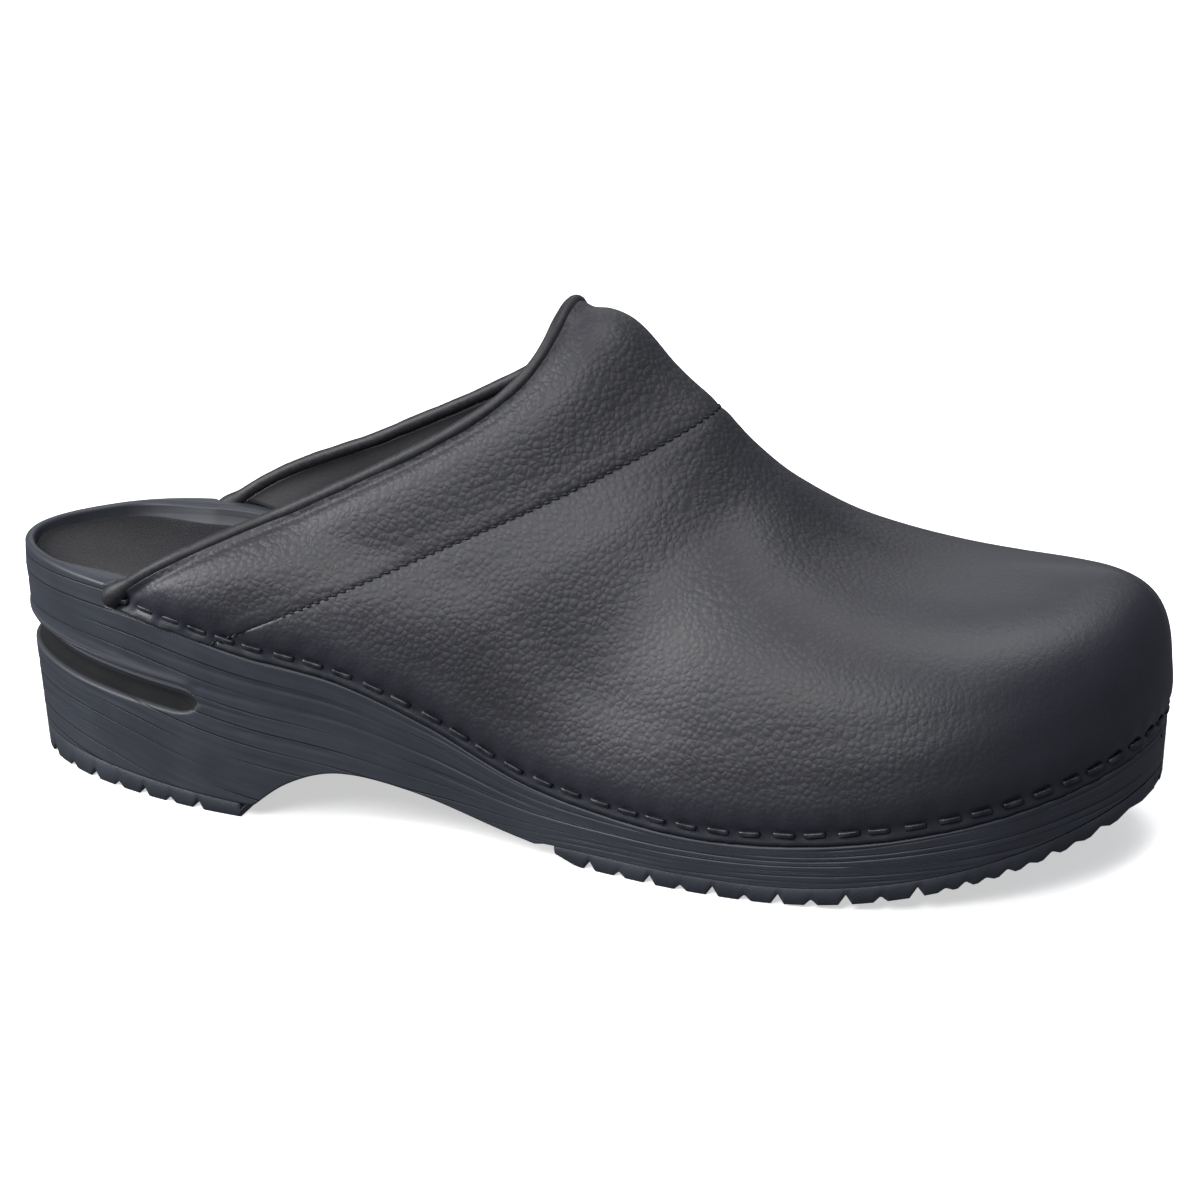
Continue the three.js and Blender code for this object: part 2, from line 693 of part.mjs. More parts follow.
// The model's origin is the middle of its bounding box, on the ground.
const box = new THREE.Box3().setFromObject(model, true);
const middle = box.getCenter(new THREE.Vector3());
model.position.set(-middle.x, -middle.y, -box.min.z);

export default model;
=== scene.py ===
"""Looks for a closed-toe, open-back clog: carved sole, tread pads, padded footbed, stapled leather.

Lengths inside the classes are millimetres in the shoe's own frame: +X is the toe, +Y the inner
side, +Z up. They become metres in the row frame when a mesh is made.
"""

import logging
import math
from dataclasses import dataclass, field
from enum import Enum
from typing import Callable, Sequence

import bmesh
import bpy
import numpy as np
from mathutils import Matrix, Vector
from mathutils.kdtree import KDTree

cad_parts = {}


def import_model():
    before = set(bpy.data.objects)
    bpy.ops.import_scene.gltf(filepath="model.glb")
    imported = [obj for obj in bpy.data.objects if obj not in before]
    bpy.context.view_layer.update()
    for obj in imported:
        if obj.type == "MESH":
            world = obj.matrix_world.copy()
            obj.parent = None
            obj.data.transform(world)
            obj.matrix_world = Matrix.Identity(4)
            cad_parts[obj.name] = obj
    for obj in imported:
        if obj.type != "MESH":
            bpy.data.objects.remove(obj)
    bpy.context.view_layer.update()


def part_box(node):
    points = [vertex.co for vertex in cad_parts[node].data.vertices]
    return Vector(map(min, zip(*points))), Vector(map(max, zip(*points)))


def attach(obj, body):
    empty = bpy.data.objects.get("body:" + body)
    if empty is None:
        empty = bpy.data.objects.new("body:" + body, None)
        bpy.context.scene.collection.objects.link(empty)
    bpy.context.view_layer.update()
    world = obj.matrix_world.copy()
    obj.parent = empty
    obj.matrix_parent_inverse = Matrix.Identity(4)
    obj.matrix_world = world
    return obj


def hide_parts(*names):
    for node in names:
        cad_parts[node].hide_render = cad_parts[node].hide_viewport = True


MM = 0.001
GAP = 0.3  # clearance between pieces that touch, as in the solids
MERGE_M = 2e-6  # points closer than this are one point
SLIVER_M = 1e-7
LOG = logging.getLogger("clog")
Array = np.ndarray


class Side(Enum):
    """The two sides of the shoe; the value is the sign of their y."""

    OUTER = -1
    INNER = 1


class Slot(Enum):
    """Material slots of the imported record."""

    SOLE = "sole"
    TREAD = "tread"
    LEATHER = "leather"
    LINING = "lining"
    SUEDE = "suede"
    FOAM = "foam"
    STAPLE = "staple"


# ---- curves and noise ----------------------------------------------------------------------


def smoothstep(x: Array | float, low: float, high: float) -> Array:
    """Cubic ramp from 0 at low to 1 at high."""
    s = np.clip((np.asarray(x, float) - low) / (high - low), 0, 1)
    return s * s * (3 - 2 * s)


def lerp(a: Array | float, b: Array | float, share: Array | float) -> Array:
    """Value that share of the way from a to b."""
    return a + (b - a) * np.asarray(share, float)


def bell(distance: Array, width: float) -> Array:
    """Smooth bump of height 1 that fades over about width."""
    return np.exp(-((distance / width) ** 2))


def value_noise(u: Array, v: Array, seed: int) -> Array:
    """Smooth repeatable noise from -1 to 1 with one lattice cell per unit.

    Args:
        u: First coordinate, any shape.
        v: Second coordinate, same shape.
        seed: Chooses the lattice.

    Returns:
        Noise of the same shape as u.
    """
    size = 64
    lattice = np.random.default_rng(seed).uniform(-1, 1, (size, size))
    i, j = np.floor(u).astype(int), np.floor(v).astype(int)
    a, b = smoothstep(u - i, 0, 1), smoothstep(v - j, 0, 1)
    i0, i1, j0, j1 = i % size, (i + 1) % size, j % size, (j + 1) % size
    low = lerp(lattice[i0, j0], lattice[i1, j0], a)
    high = lerp(lattice[i0, j1], lattice[i1, j1], a)
    return lerp(low, high, b)


@dataclass(frozen=True)
class Profile:
    """Smooth curve through (position, value) pairs, extended straight past its ends."""

    points: tuple[tuple[float, float], ...]

    def __call__(self, x: Array | float) -> Array:
        """Value of the curve at x.

        Args:
            x: Places along the shoe.

        Returns:
            Values, of the same shape as x.
        """
        px, py = np.array(self.points, float).T
        last = len(px) - 1
        before, after = np.r_[0, 0:last], np.r_[1 : last + 1, last]
        slopes = (py[after] - py[before]) / (px[after] - px[before])
        x = np.asarray(x, float)
        i = np.clip(np.searchsorted(px, x, side="right") - 1, 0, last - 1)
        width = px[i + 1] - px[i]
        s = (x - px[i]) / width
        inside = (
            (1 + 2 * s) * (1 - s) ** 2 * py[i]
            + s * (1 - s) ** 2 * width * slopes[i]
            + s**2 * (3 - 2 * s) * py[i + 1]
            + s**2 * (s - 1) * width * slopes[i + 1]
        )
        left = py[0] + slopes[0] * (x - px[0])
        right = py[last] + slopes[last] * (x - px[last])
        return np.where(x < px[0], left, np.where(x > px[last], right, inside))


def resample(points: Array, shares: Array) -> Array:
    """Points at the given shares of a polyline's length.

    Args:
        points: Points, one row each, or a grid of them.
        shares: Shares of the line's length to return points at.

    Returns:
        Points, one row for each share.
    """
    steps = np.linalg.norm(np.diff(points, axis=0), axis=1)
    along = np.r_[0, np.cumsum(steps)]
    return np.stack([np.interp(shares * along[-1], along, c) for c in points.T], axis=1)


# ---- the shoe's form -------------------------------------------------------------------------


@dataclass
class Last:
    """Outline, heights and rib surface that every piece of the shoe is built on."""

    length: float = 285.5
    breadth: float = 111.0
    outer_shares: tuple[float, ...] = (0.306, 0.586, 0.775, 0.825, 0.836, 0.996, 1.0, 0.793, 0.387)
    inner_shares: tuple[float, ...] = (0.306, 0.582, 0.703, 0.694, 0.789, 0.912, 0.91, 0.804, 0.562)
    toe_shift: float = 6.4
    edge_heights: tuple[tuple[float, float], ...] = (
        (0, 47.5), (0.14, 47.5), (0.26, 42), (0.345, 38.3), (0.42, 30.5), (0.5, 19.6),
        (0.57, 15.6), (0.68, 14), (0.785, 16.6), (0.89, 21.8), (0.975, 28), (1, 30.5),
    )
    rim_rise: float = 6.5
    insets: tuple[tuple[float, float], ...] = (
        (0, 4.5), (0.16, 3.5), (0.3, 2.5), (0.5, 2), (0.68, 1.5), (1, 1.5),
    )
    seam: float = 0.75
    seam_reach: float = 0.342
    back_reach: float = 0.385
    crest: tuple[tuple[float, float, float], ...] = (
        (0, 0.872, 68.5), (0.125, 0.823, 66.2), (0.25, 0.778, 66.8), (0.375, 0.732, 72.5),
        (0.5, 0.69, 82.3), (0.625, 0.653, 92), (0.75, 0.623, 101), (0.84, 0.581, 110),
        (0.92, 0.543, 120.3), (1, 0.501, 124.3),
    )
    crest_shifts: tuple[float, float] = (9.0, -1.3)
    rise_powers: tuple[float, float] = (0.38, 1.19)
    run_powers: tuple[float, float] = (0.38, 1.02)
    toe_bulge: float = 0.9
    sweeps: tuple[float, float] = (0.02, 0.16)
    topline_upright: float = 0.03
    upright_end: float = 0.35
    hug_height: float = 26.0
    offset: Vector = field(default_factory=Vector)

    def __post_init__(self) -> None:
        """Tabulates the outline and the curves along the sole."""
        shares = (1 - np.cos(np.arange(1, 10) * math.pi / 10)) / 2
        half = self.breadth / 2
        outer = np.stack([self.station(shares), -np.array(self.outer_shares) * half], 1)
        inner = np.stack([self.station(shares), np.array(self.inner_shares) * half], 1)
        back = np.array([[self.station(0), 0.0]])
        toe = np.array([[self.station(1), self.toe_shift]])
        self.knots = np.concatenate([back, outer, toe, inner[::-1]])
        self.edge_height = self.along_sole(self.edge_heights)
        self.inset = self.along_sole(self.insets)
        self.crest_x = Profile(tuple((r, float(self.station(s))) for r, s, _ in self.crest))
        self.crest_z = Profile(tuple((r, z) for r, _, z in self.crest))
        self.turns = np.linspace(0, 1, 20001)
        self.ring = self.rim(self.turns)

    def station(self, share: Array | float) -> Array:
        """x of a share of the sole's length from the heel back."""
        return -self.length / 2 + np.asarray(share, float) * self.length

    def along_sole(self, pairs: Sequence[tuple[float, float]]) -> Profile:
        """Curve whose positions are given as shares of the sole's length."""
        return Profile(tuple((float(self.station(share)), value) for share, value in pairs))

    def rim_height(self, x: Array | float) -> Array:
        """Height of the sole's rim at x."""
        return self.edge_height(x) + self.rim_rise

    def _segment(self, turn: Array | float) -> tuple[Array, Array, Array, Array, Array]:
        """Hermite segment that holds a turn of the outline: ends, slopes and the share along it.

        Args:
            turn: Turn round the outline: 0 heel back, 0.5 toe tip.

        Returns:
            Both ends, both slopes and the share along the segment.
        """
        count = len(self.knots)
        f = np.mod(np.asarray(turn, float), 1) * count
        i = np.floor(f).astype(int) % count
        slopes = (np.roll(self.knots, -1, 0) - np.roll(self.knots, 1, 0)) / 2
        j = (i + 1) % count
        return self.knots[i], self.knots[j], slopes[i], slopes[j], (f - np.floor(f))[..., None]

    def outward(self, turn: Array | float) -> Array:
        """Unit vector square to the outline, pointing out of the shoe.

        Args:
            turn: Turn round the outline: 0 heel back, 0.5 toe tip.

        Returns:
            Unit vectors.
        """
        a, b, ma, mb, s = self._segment(turn)
        slope = (6 * s * s - 6 * s) * (a - b) + (3 * s * s - 4 * s + 1) * ma + (3 * s * s - 2 * s) * mb
        normal = np.stack([slope[..., 1], -slope[..., 0]], -1)
        return normal / np.linalg.norm(normal, axis=-1, keepdims=True)

    def rim(self, turn: Array | float, inset: Array | float = 0.0) -> Array:
        """Outline point at a turn (0 heel back, 0.5 toe tip), moved inward.

        Args:
            turn: Turn round the outline: 0 heel back, 0.5 toe tip.
            inset: Distance that the outline is moved inward.

        Returns:
            Points, x and y.
        """
        a, b, ma, mb, s = self._segment(turn)
        point = (
            (1 + 2 * s) * (1 - s) ** 2 * a
            + s * (1 - s) ** 2 * ma
            + s**2 * (3 - 2 * s) * b
            + s**2 * (s - 1) * mb
        )
        return point - self.outward(turn) * np.asarray(inset, float)[..., None]

    def turn_at(self, side: Side, x: Array, inset: Array | float | None = None) -> Array:
        """Turn where one side of the outline, moved inward, crosses x.

        Args:
            side: Which side of the shoe.
            x: Places along the shoe.
            inset: Distance that the outline is moved inward.

        Returns:
            Turns, one for each x.
        """
        ring = self.ring if inset is None else self.rim(self.turns, inset)
        half = len(self.turns) // 2
        part = slice(0, half + 1) if side is Side.OUTER else slice(None, half - 1, -1)
        return np.interp(x, ring[part, 0], self.turns[part])

    def foot_turn(self, side: Side, rib: float) -> float:
        """Turn of the outline where a rib stands on the sole.

        Args:
            side: Which side of the shoe.
            rib: 0 at the toe tip, 1 at the topline.

        Returns:
            The turn.
        """
        past = max(0.0, (rib - self.seam) / (1 - self.seam))
        reach = min(1.0, rib / self.seam) * self.seam_reach
        return 0.5 + side.value * (reach + past * (self.back_reach - self.seam_reach))

    def rib_side(self, side: Side, rib: float, depth: float, above_rim: bool, shares: Array) -> Array:
        """One side of a rib from its foot up to the crest.

        Args:
            side: Which side of the shoe.
            rib: 0 at the toe tip, 1 at the topline.
            depth: Distance of the layer inside the leather's face.
            above_rim: Whether the line starts at the sole's rim and not at the leather's edge.
            shares: Shares of the line's length to return points at.

        Returns:
            Array of points, one row for each share.
        """
        to_seam = min(1.0, rib / self.seam)
        past = max(0.0, (rib - self.seam) / (1 - self.seam))
        turn = self.foot_turn(side, rib)
        out = self.outward(turn)
        foot = self.rim(turn, depth)
        foot_z = float(self.edge_height(self.rim(turn)[0])) + GAP
        crest = (float(self.crest_x(rib)), float(lerp(*self.crest_shifts, to_seam)))
        crest_z = float(self.crest_z(rib)) - depth
        lean = float(smoothstep(to_seam, 0, 1))
        sweep = float(lerp(self.sweeps[0] * lean, self.sweeps[1], past))
        angle = np.linspace(0, math.pi / 2, 220)
        rise = np.sin(angle) ** lerp(*self.rise_powers, to_seam)
        run = 1 - np.maximum(0, np.cos(angle)) ** lerp(*self.run_powers, to_seam)
        upright = np.sin(math.pi * np.minimum(1, rise / self.upright_end))
        leaning = rise + sweep * np.sin(math.pi * rise**1.8) - past * self.topline_upright * upright
        bulge = self.toe_bulge * np.sin(math.pi * rise) * (1 - to_seam)
        x = lerp(foot[0], crest[0], lerp(run, leaning, lean))
        above = rise * (crest_z - foot_z)
        hug = 1 - smoothstep(above, self.rim_rise, self.hug_height)
        hug = hug * float(smoothstep(to_seam, 0, 0.4))
        edge_turn = self.turn_at(side, x)
        slant = self.outward(edge_turn)[:, 1]
        edge = self.rim(edge_turn)[:, 1] - depth / np.where(hug > 0, slant, 1)
        y = lerp(lerp(foot[1], crest[1], run), edge, hug)
        line = np.stack([x + out[0] * bulge, y + out[1] * bulge, foot_z + above], 1)
        if above_rim:
            clear = line[:, 2] - self.rim_height(line[:, 0]) - GAP
            first = int(np.argmax(clear > 0))
            share = clear[first] / (clear[first] - clear[first - 1])
            cut = lerp(line[first], line[first - 1], share)
            line = np.concatenate([cut[None], line[first:]])
        return resample(line, shares)

    def arch_row(self, rib: float, depth: float, above_rim: bool, shares: Array) -> Array:
        """Whole rib from the outer foot over the crest to the inner foot.

        Args:
            rib: 0 at the toe tip, 1 at the topline.
            depth: Distance of the layer inside the leather's face.
            above_rim: Whether the line starts at the sole's rim and not at the leather's edge.
            shares: Shares of the line's length to return points at.

        Returns:
            Points, one row each.
        """
        outer = self.rib_side(Side.OUTER, rib, depth, above_rim, shares)
        inner = self.rib_side(Side.INNER, rib, depth, above_rim, shares)
        return np.concatenate([outer, inner[::-1][1:]])

    def bed_height(self, x: Array, y: Array) -> Array:
        """Height of the footbed: a cup at the heel that flattens toward the ball.

        Args:
            x: Places along the shoe.
            y: Places across the shoe.

        Returns:
            Heights.
        """
        cup = lerp(6.0, 3.0, smoothstep(x, self.station(0.3), self.station(0.6)))
        behind = np.minimum(0, x - self.station(0.17)) / (0.17 * self.length)
        across = y / (self.breadth * 0.37)
        return self.rim_height(x) - 1.5 - cup * (1 - np.minimum(1, behind**2 + across**2))

    def ground(self, x: Array) -> Array:
        """Height of the ground line, which rises under the toe."""
        return np.maximum(0, x - self.station(0.69)) ** 2 / (2 * 230.0)

    def lip(self, turn: Array) -> Array:
        """Width of sole left outside the footbed."""
        return lerp(2.4, 7.8, smoothstep(np.minimum(turn, 1 - turn), 0.07, 0.5 - self.back_reach))


# ---- making meshes ---------------------------------------------------------------------------


@dataclass
class Workshop:
    """Turns grids and small shapes into finished pieces in the row frame."""

    last: Last
    pieces: list[bpy.types.Object] = field(default_factory=list)

    def to_frame(self, points: Array) -> Array:
        """Millimetres in the shoe's frame to metres in the row frame."""
        return points * MM + np.array(self.last.offset)

    def wrap(
        self,
        name: str,
        points: Array,
        uv: Array | None = None,
        marks: dict[str, Array] | None = None,
    ) -> bpy.types.Object:
        """Wraps a flat bmesh grid onto a surface and closes its seams.

        Args:
            name: Name of the piece.
            points: Rows by columns by xyz, in millimetres.
            uv: Rows by columns by two, in millimetres, for patterns that follow the surface.
            marks: Named values for each point, kept as vertex attributes.

        Returns:
            The finished object.
        """
        rows, columns = points.shape[:2]
        bm = bmesh.new()
        bmesh.ops.create_grid(bm, x_segments=columns - 1, y_segments=rows - 1, size=0.5)
        mesh = bpy.data.meshes.new(name)
        bm.to_mesh(mesh)
        bm.free()
        flat = np.zeros(len(mesh.vertices) * 3, np.float32)
        mesh.vertices.foreach_get("co", flat)
        flat = flat.reshape(-1, 3)
        i = np.rint((flat[:, 0] + 0.5) * (columns - 1)).astype(int)
        j = np.rint((flat[:, 1] + 0.5) * (rows - 1)).astype(int)
        mesh.vertices.foreach_set("co", self.to_frame(points[j, i]).astype(np.float32).ravel())
        if uv is not None:
            loops = np.zeros(len(mesh.loops), np.int32)
            mesh.loops.foreach_get("vertex_index", loops)
            layer = mesh.uv_layers.new(name="UVMap")
            layer.uv.foreach_set("vector", (uv[j, i][loops] * MM).astype(np.float32).ravel())
        for key, values in (marks or {}).items():
            mark = mesh.attributes.new(key, "FLOAT", "POINT")
            mark.data.foreach_set("value", values[j, i].astype(np.float32).ravel())
        bm = bmesh.new()
        bm.from_mesh(mesh)
        bmesh.ops.remove_doubles(bm, verts=bm.verts, dist=MERGE_M)
        bmesh.ops.dissolve_degenerate(bm, edges=bm.edges, dist=SLIVER_M)
        bmesh.ops.recalc_face_normals(bm, faces=bm.faces)
        return self.finish(name, bm, mesh)

    def finish(
        self, name: str, bm: bmesh.types.BMesh, mesh: bpy.types.Mesh | None = None
    ) -> bpy.types.Object:
        """Writes a bmesh in row-frame metres into a smooth-shaded object.

        Args:
            name: Name of the piece.
            bm: The shape, which is freed.
            mesh: Mesh to write into, if there is one already.

        Returns:
            The object.
        """
        mesh = mesh or bpy.data.meshes.new(name)
        for face in bm.faces:
            face.smooth = True
        bm.to_mesh(mesh)
        bm.free()
        piece = bpy.data.objects.new(name, mesh)
        bpy.context.scene.collection.objects.link(piece)
        self.pieces.append(piece)
        return piece

    def dress(
        self,
        piece: bpy.types.Object,
        finish: "Finish",
        stands_for: Sequence[str] = (),
    ) -> bpy.types.Object:
        """Gives a piece its material and its place on the root body.

        Args:
            piece: The piece.
            finish: The piece's finish.
            stands_for: Solids that the piece takes the place of.

        Returns:
            The same piece.
        """
        piece.data.materials.clear()
        piece.data.materials.append(finish.material)
        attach(piece, "root")
        if stands_for:
            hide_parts(*stands_for)
        LOG.info("%s: %d faces", piece.name, len(piece.data.polygons))
        return piece


def surface_normals(points: Array) -> Array:
    """Unit normals of a grid of points, from its rows and columns.

    Args:
        points: Points, one row each, or a grid of them.

    Returns:
        Grid of unit vectors.
    """
    along = np.gradient(points, axis=1)
    across = np.gradient(points, axis=0)
    normal = np.cross(along, across)
    length = np.linalg.norm(normal, axis=-1, keepdims=True)
    return normal / np.maximum(length, 1e-9)


def closed_band(face: Array, back: Array, ends: Sequence[int] = (0, -1)) -> Array:
    """Grid round a thin layer, closed on itself, with a wall at its end rows.

    Args:
        face: Rows of the layer's face.
        back: Rows of its back, with as many columns.
        ends: Which of the first and last rows get a wall.

    Returns:
        Rows by columns by xyz.
    """
    band = np.concatenate([face, back[:, ::-1], face[:, :1]], axis=1)
    for end in ends:
        row = np.concatenate([back[end], back[end][::-1], back[end][:1]])[None]
        band = np.concatenate([row, band] if end == 0 else [band, row])
    return band


# ---- finishes --------------------------------------------------------------------------------


def linear(hex_colour: str) -> tuple[float, float, float, float]:
    """Linear RGBA of an sRGB colour written as six hex digits."""
    channels = [int(hex_colour[k : k + 2], 16) / 255 for k in (0, 2, 4)]
    return (*[c / 12.92 if c <= 0.04045 else ((c + 0.055) / 1.055) ** 2.4 for c in channels], 1.0)


def node(
    tree: bpy.types.NodeTree,
    kind: str,
    settings: dict[str, object] | None = None,
    links: dict[str | int, object] | None = None,
) -> bpy.types.Node:
    """Adds a node, sets its properties and sockets, and links its inputs.

    Args:
        tree: Node tree to add to.
        kind: Blender's name of the node type.
        settings: Property or input-socket values by name.
        links: Input sockets, by name or index, and the output sockets that feed them.

    Returns:
        The new node.
    """
    made = tree.nodes.new(kind)
    for name, value in (settings or {}).items():
        if name in made.inputs:
            made.inputs[name].default_value = value
        else:
            setattr(made, name, value)
    for name, source in (links or {}).items():
        tree.links.new(source, made.inputs[name])
    return made


def ramp(tree: bpy.types.NodeTree, source: object, stops: Sequence[tuple[float, str]]) -> object:
    """Colour output of a ramp through (position, hex colour) stops.

    Args:
        tree: Node tree to add to.
        source: Socket that feeds it.
        stops: Positions and hex colours, in order.

    Returns:
        Colour socket.
    """
    made = node(tree, "ShaderNodeValToRGB", links={"Fac": source})
    elements = made.color_ramp.elements
    while len(elements) < len(stops):
        elements.new(0.5)
    for element, (position, colour) in zip(elements, stops):
        element.position = position
        element.color = linear(colour)
    return made.outputs["Color"]


def scaled(tree: bpy.types.NodeTree, source: object, low: float, high: float) -> object:
    """A 0 to 1 value moved to the range low to high."""
    made = node(tree, "ShaderNodeMapRange", {"To Min": low, "To Max": high}, {"Value": source})
    return made.outputs["Result"]


def combine(tree: bpy.types.NodeTree, operation: str, a: object, b: object) -> object:
    """Result of a math node on two sockets or numbers.

    Args:
        tree: Node tree to add to.
        operation: Blender's name of the operation.
        a: First socket or number.
        b: Second socket or number.

    Returns:
        Result socket.
    """
    made = node(tree, "ShaderNodeMath", {"operation": operation})
    for socket, value in zip(made.inputs, (a, b)):
        if isinstance(value, (int, float)):
            socket.default_value = value
        else:
            tree.links.new(value, socket)
    return made.outputs[0]


class Finish:
    """A procedural material with a Principled shader, and the record slot it stands for."""

    name = "finish"
    slot = Slot.LEATHER

    def __init__(self) -> None:
        """Makes the material and lets the subclass build its nodes."""
        self.material = bpy.data.materials.new(self.name)
        self.material.use_nodes = True
        self.tree = self.material.node_tree
        self.shader = self.tree.nodes["Principled BSDF"]
        self.build()

    def build(self) -> None:
        """Builds the nodes of this finish."""
        raise NotImplementedError

    def set(self, **values: object) -> None:
        """Sets shader sockets; underscores in the names stand for spaces."""
        for name, value in values.items():
            self.shader.inputs[name.replace("_", " ")].default_value = value

    def feed(self, socket: str, source: object) -> None:
        """Links a shader socket."""
        self.tree.links.new(source, self.shader.inputs[socket])

    def object_place(self) -> object:
        """Object coordinates, in metres."""
        return node(self.tree, "ShaderNodeTexCoord").outputs["Object"]

    def surface_place(self, stretch: tuple[float, float] = (1, 1)) -> object:
        """The piece's own surface map, in metres, stretched along and across.

        Args:
            stretch: Scales along and across the piece.

        Returns:
            Vector socket.
        """
        place = node(self.tree, "ShaderNodeUVMap", {"uv_map": "UVMap"}).outputs["UV"]
        settings = {"Scale": (*stretch, 1)}
        return node(self.tree, "ShaderNodeMapping", settings, {"Vector": place}).outputs["Vector"]

    def noise(self, place: object, size_mm: float, detail: float = 2, warp: float = 0) -> object:
        """Noise whose blotches are about size_mm across.

        Args:
            place: Socket with the coordinates.
            size_mm: Width of a blotch.
            detail: Octaves of finer noise.
            warp: Distortion of the coordinates.

        Returns:
            Value socket, 0 to 1.
        """
        settings = {"Scale": 1 / (size_mm * MM), "Detail": detail, "Distortion": warp}
        made = node(self.tree, "ShaderNodeTexNoise", settings, {"Vector": place})
        return made.outputs["Fac"]

    def bump(self, height: object, depth_mm: float, below: object | None = None) -> object:
        """Normal of a relief depth_mm deep, laid on another relief if there is one.

        Args:
            height: Socket with the relief, 0 to 1.
            depth_mm: Depth of the relief.
            below: Relief that this one lies on.

        Returns:
            Normal socket.
        """
        links = {"Height": height}
        if below is not None:
            links["Normal"] = below
        settings = {"Strength": 1.0, "Distance": depth_mm * MM}
        return node(self.tree, "ShaderNodeBump", settings, links).outputs["Normal"]


class CarvedSole(Finish):
    """Black-stained carved sole: satin film over wood-grain relief, sunk growth lines darker, painted shade
    and painted highlight in the heel's finger groove.
    """

    name = "black stained carved wood"
    slot = Slot.SOLE
    line_spacing_mm = 3.8
    break_mm = 6
    pore_mm = 0.5
    smudge_mm = 14

    def build(self) -> None:
        """Growth lines, fine pores, smudged sheen, and painted shade and highlight in the finger groove."""
        tree = self.tree
        settings = {
            "bands_direction": "Y",
            "Scale": math.pi / (10 * self.line_spacing_mm * MM),
            "Distortion": 7.0,
            "Detail": 1.0,
            "Detail Scale": 0.25,
        }
        waves = node(tree, "ShaderNodeTexWave", settings, {"Vector": self.surface_place((0.05, 1))})
        broken = self.noise(self.surface_place((0.12, 1)), self.break_mm, 1)
        faded = ramp(tree, broken, [(0.42, "000000"), (0.6, "ffffff")])
        lines = ramp(tree, waves.outputs["Fac"], [(0.0, "000000"), (0.035, "ffffff")])
        sunk = combine(tree, "MAXIMUM", lines, faded)
        fine = self.noise(self.surface_place((0.03, 1)), self.pore_mm * 2, 3, 0.2)
        smudge = self.noise(self.object_place(), self.smudge_mm, 3)
        tone = combine(tree, "MULTIPLY", fine, smudge)
        colour = ramp(tree, tone, [(0.1, "303238"), (0.25, "34373e"), (0.45, "3a3d45")])
        dark = node(tree, "ShaderNodeMix", {"data_type": "RGBA"}, {0: sunk, 7: colour})
        dark.inputs[6].default_value = linear("121316")
        # Painted light in the heel's finger groove: near-black painted shade in its lower half, a pale
        # painted reflection in its upper half and a painted highlight on the lip above it; the shaded part
        # is also made rougher.
        painted_groove_light = node(tree, "ShaderNodeAttribute", {"attribute_name": "painted_groove_light"}).outputs["Fac"]
        level = node(tree, "ShaderNodeMapRange", {"From Min": -1.0}, {"Value": painted_groove_light}).outputs["Result"]
        share = combine(tree, "MULTIPLY", combine(tree, "ABSOLUTE", painted_groove_light, 0), 0.95)
        groove_shade_and_highlight = ramp(tree, level, [(0.0, "030304"), (0.5, "3a3d45"), (1.0, "a4a6ac")])
        wear_and_painted_light = node(tree, "ShaderNodeMix", {"data_type": "RGBA"}, {0: share, 6: dark.outputs[2], 7: groove_shade_and_highlight})
        self.feed("Base Color", wear_and_painted_light.outputs[2])
        settings = {"From Min": -1.0, "From Max": 0.0, "To Min": 0.5, "To Max": 0.0}
        matt = node(tree, "ShaderNodeMapRange", settings, {"Value": painted_groove_light}).outputs["Result"]
        self.feed("Roughness", combine(tree, "ADD", scaled(tree, smudge, 0.4, 0.54), matt))
        self.set(Specular_IOR_Level=0.45)
        normal = self.bump(sunk, 0.09)
        normal = self.bump(fine, 0.03, normal)
        self.feed("Normal", self.bump(self.noise(self.object_place(), 9, 2), 0.12, normal))


class TreadRubber(Finish):
    """Moulded black rubber: matt, faintly grainy, dusty in patches."""

    name = "moulded black rubber"
    slot = Slot.TREAD
    grain_mm = 0.8

    def build(self) -> None:
        """Mould grain and dust."""
        tree = self.tree
        patches = self.noise(self.object_place(), 12, 4)
        self.feed("Base Color", ramp(tree, patches, [(0.3, "2c2f35"), (0.7, "373a42")]))
        self.feed("Roughness", scaled(tree, patches, 0.42, 0.56))
        self.feed("Normal", self.bump(self.noise(self.object_place(), self.grain_mm, 3), 0.08))


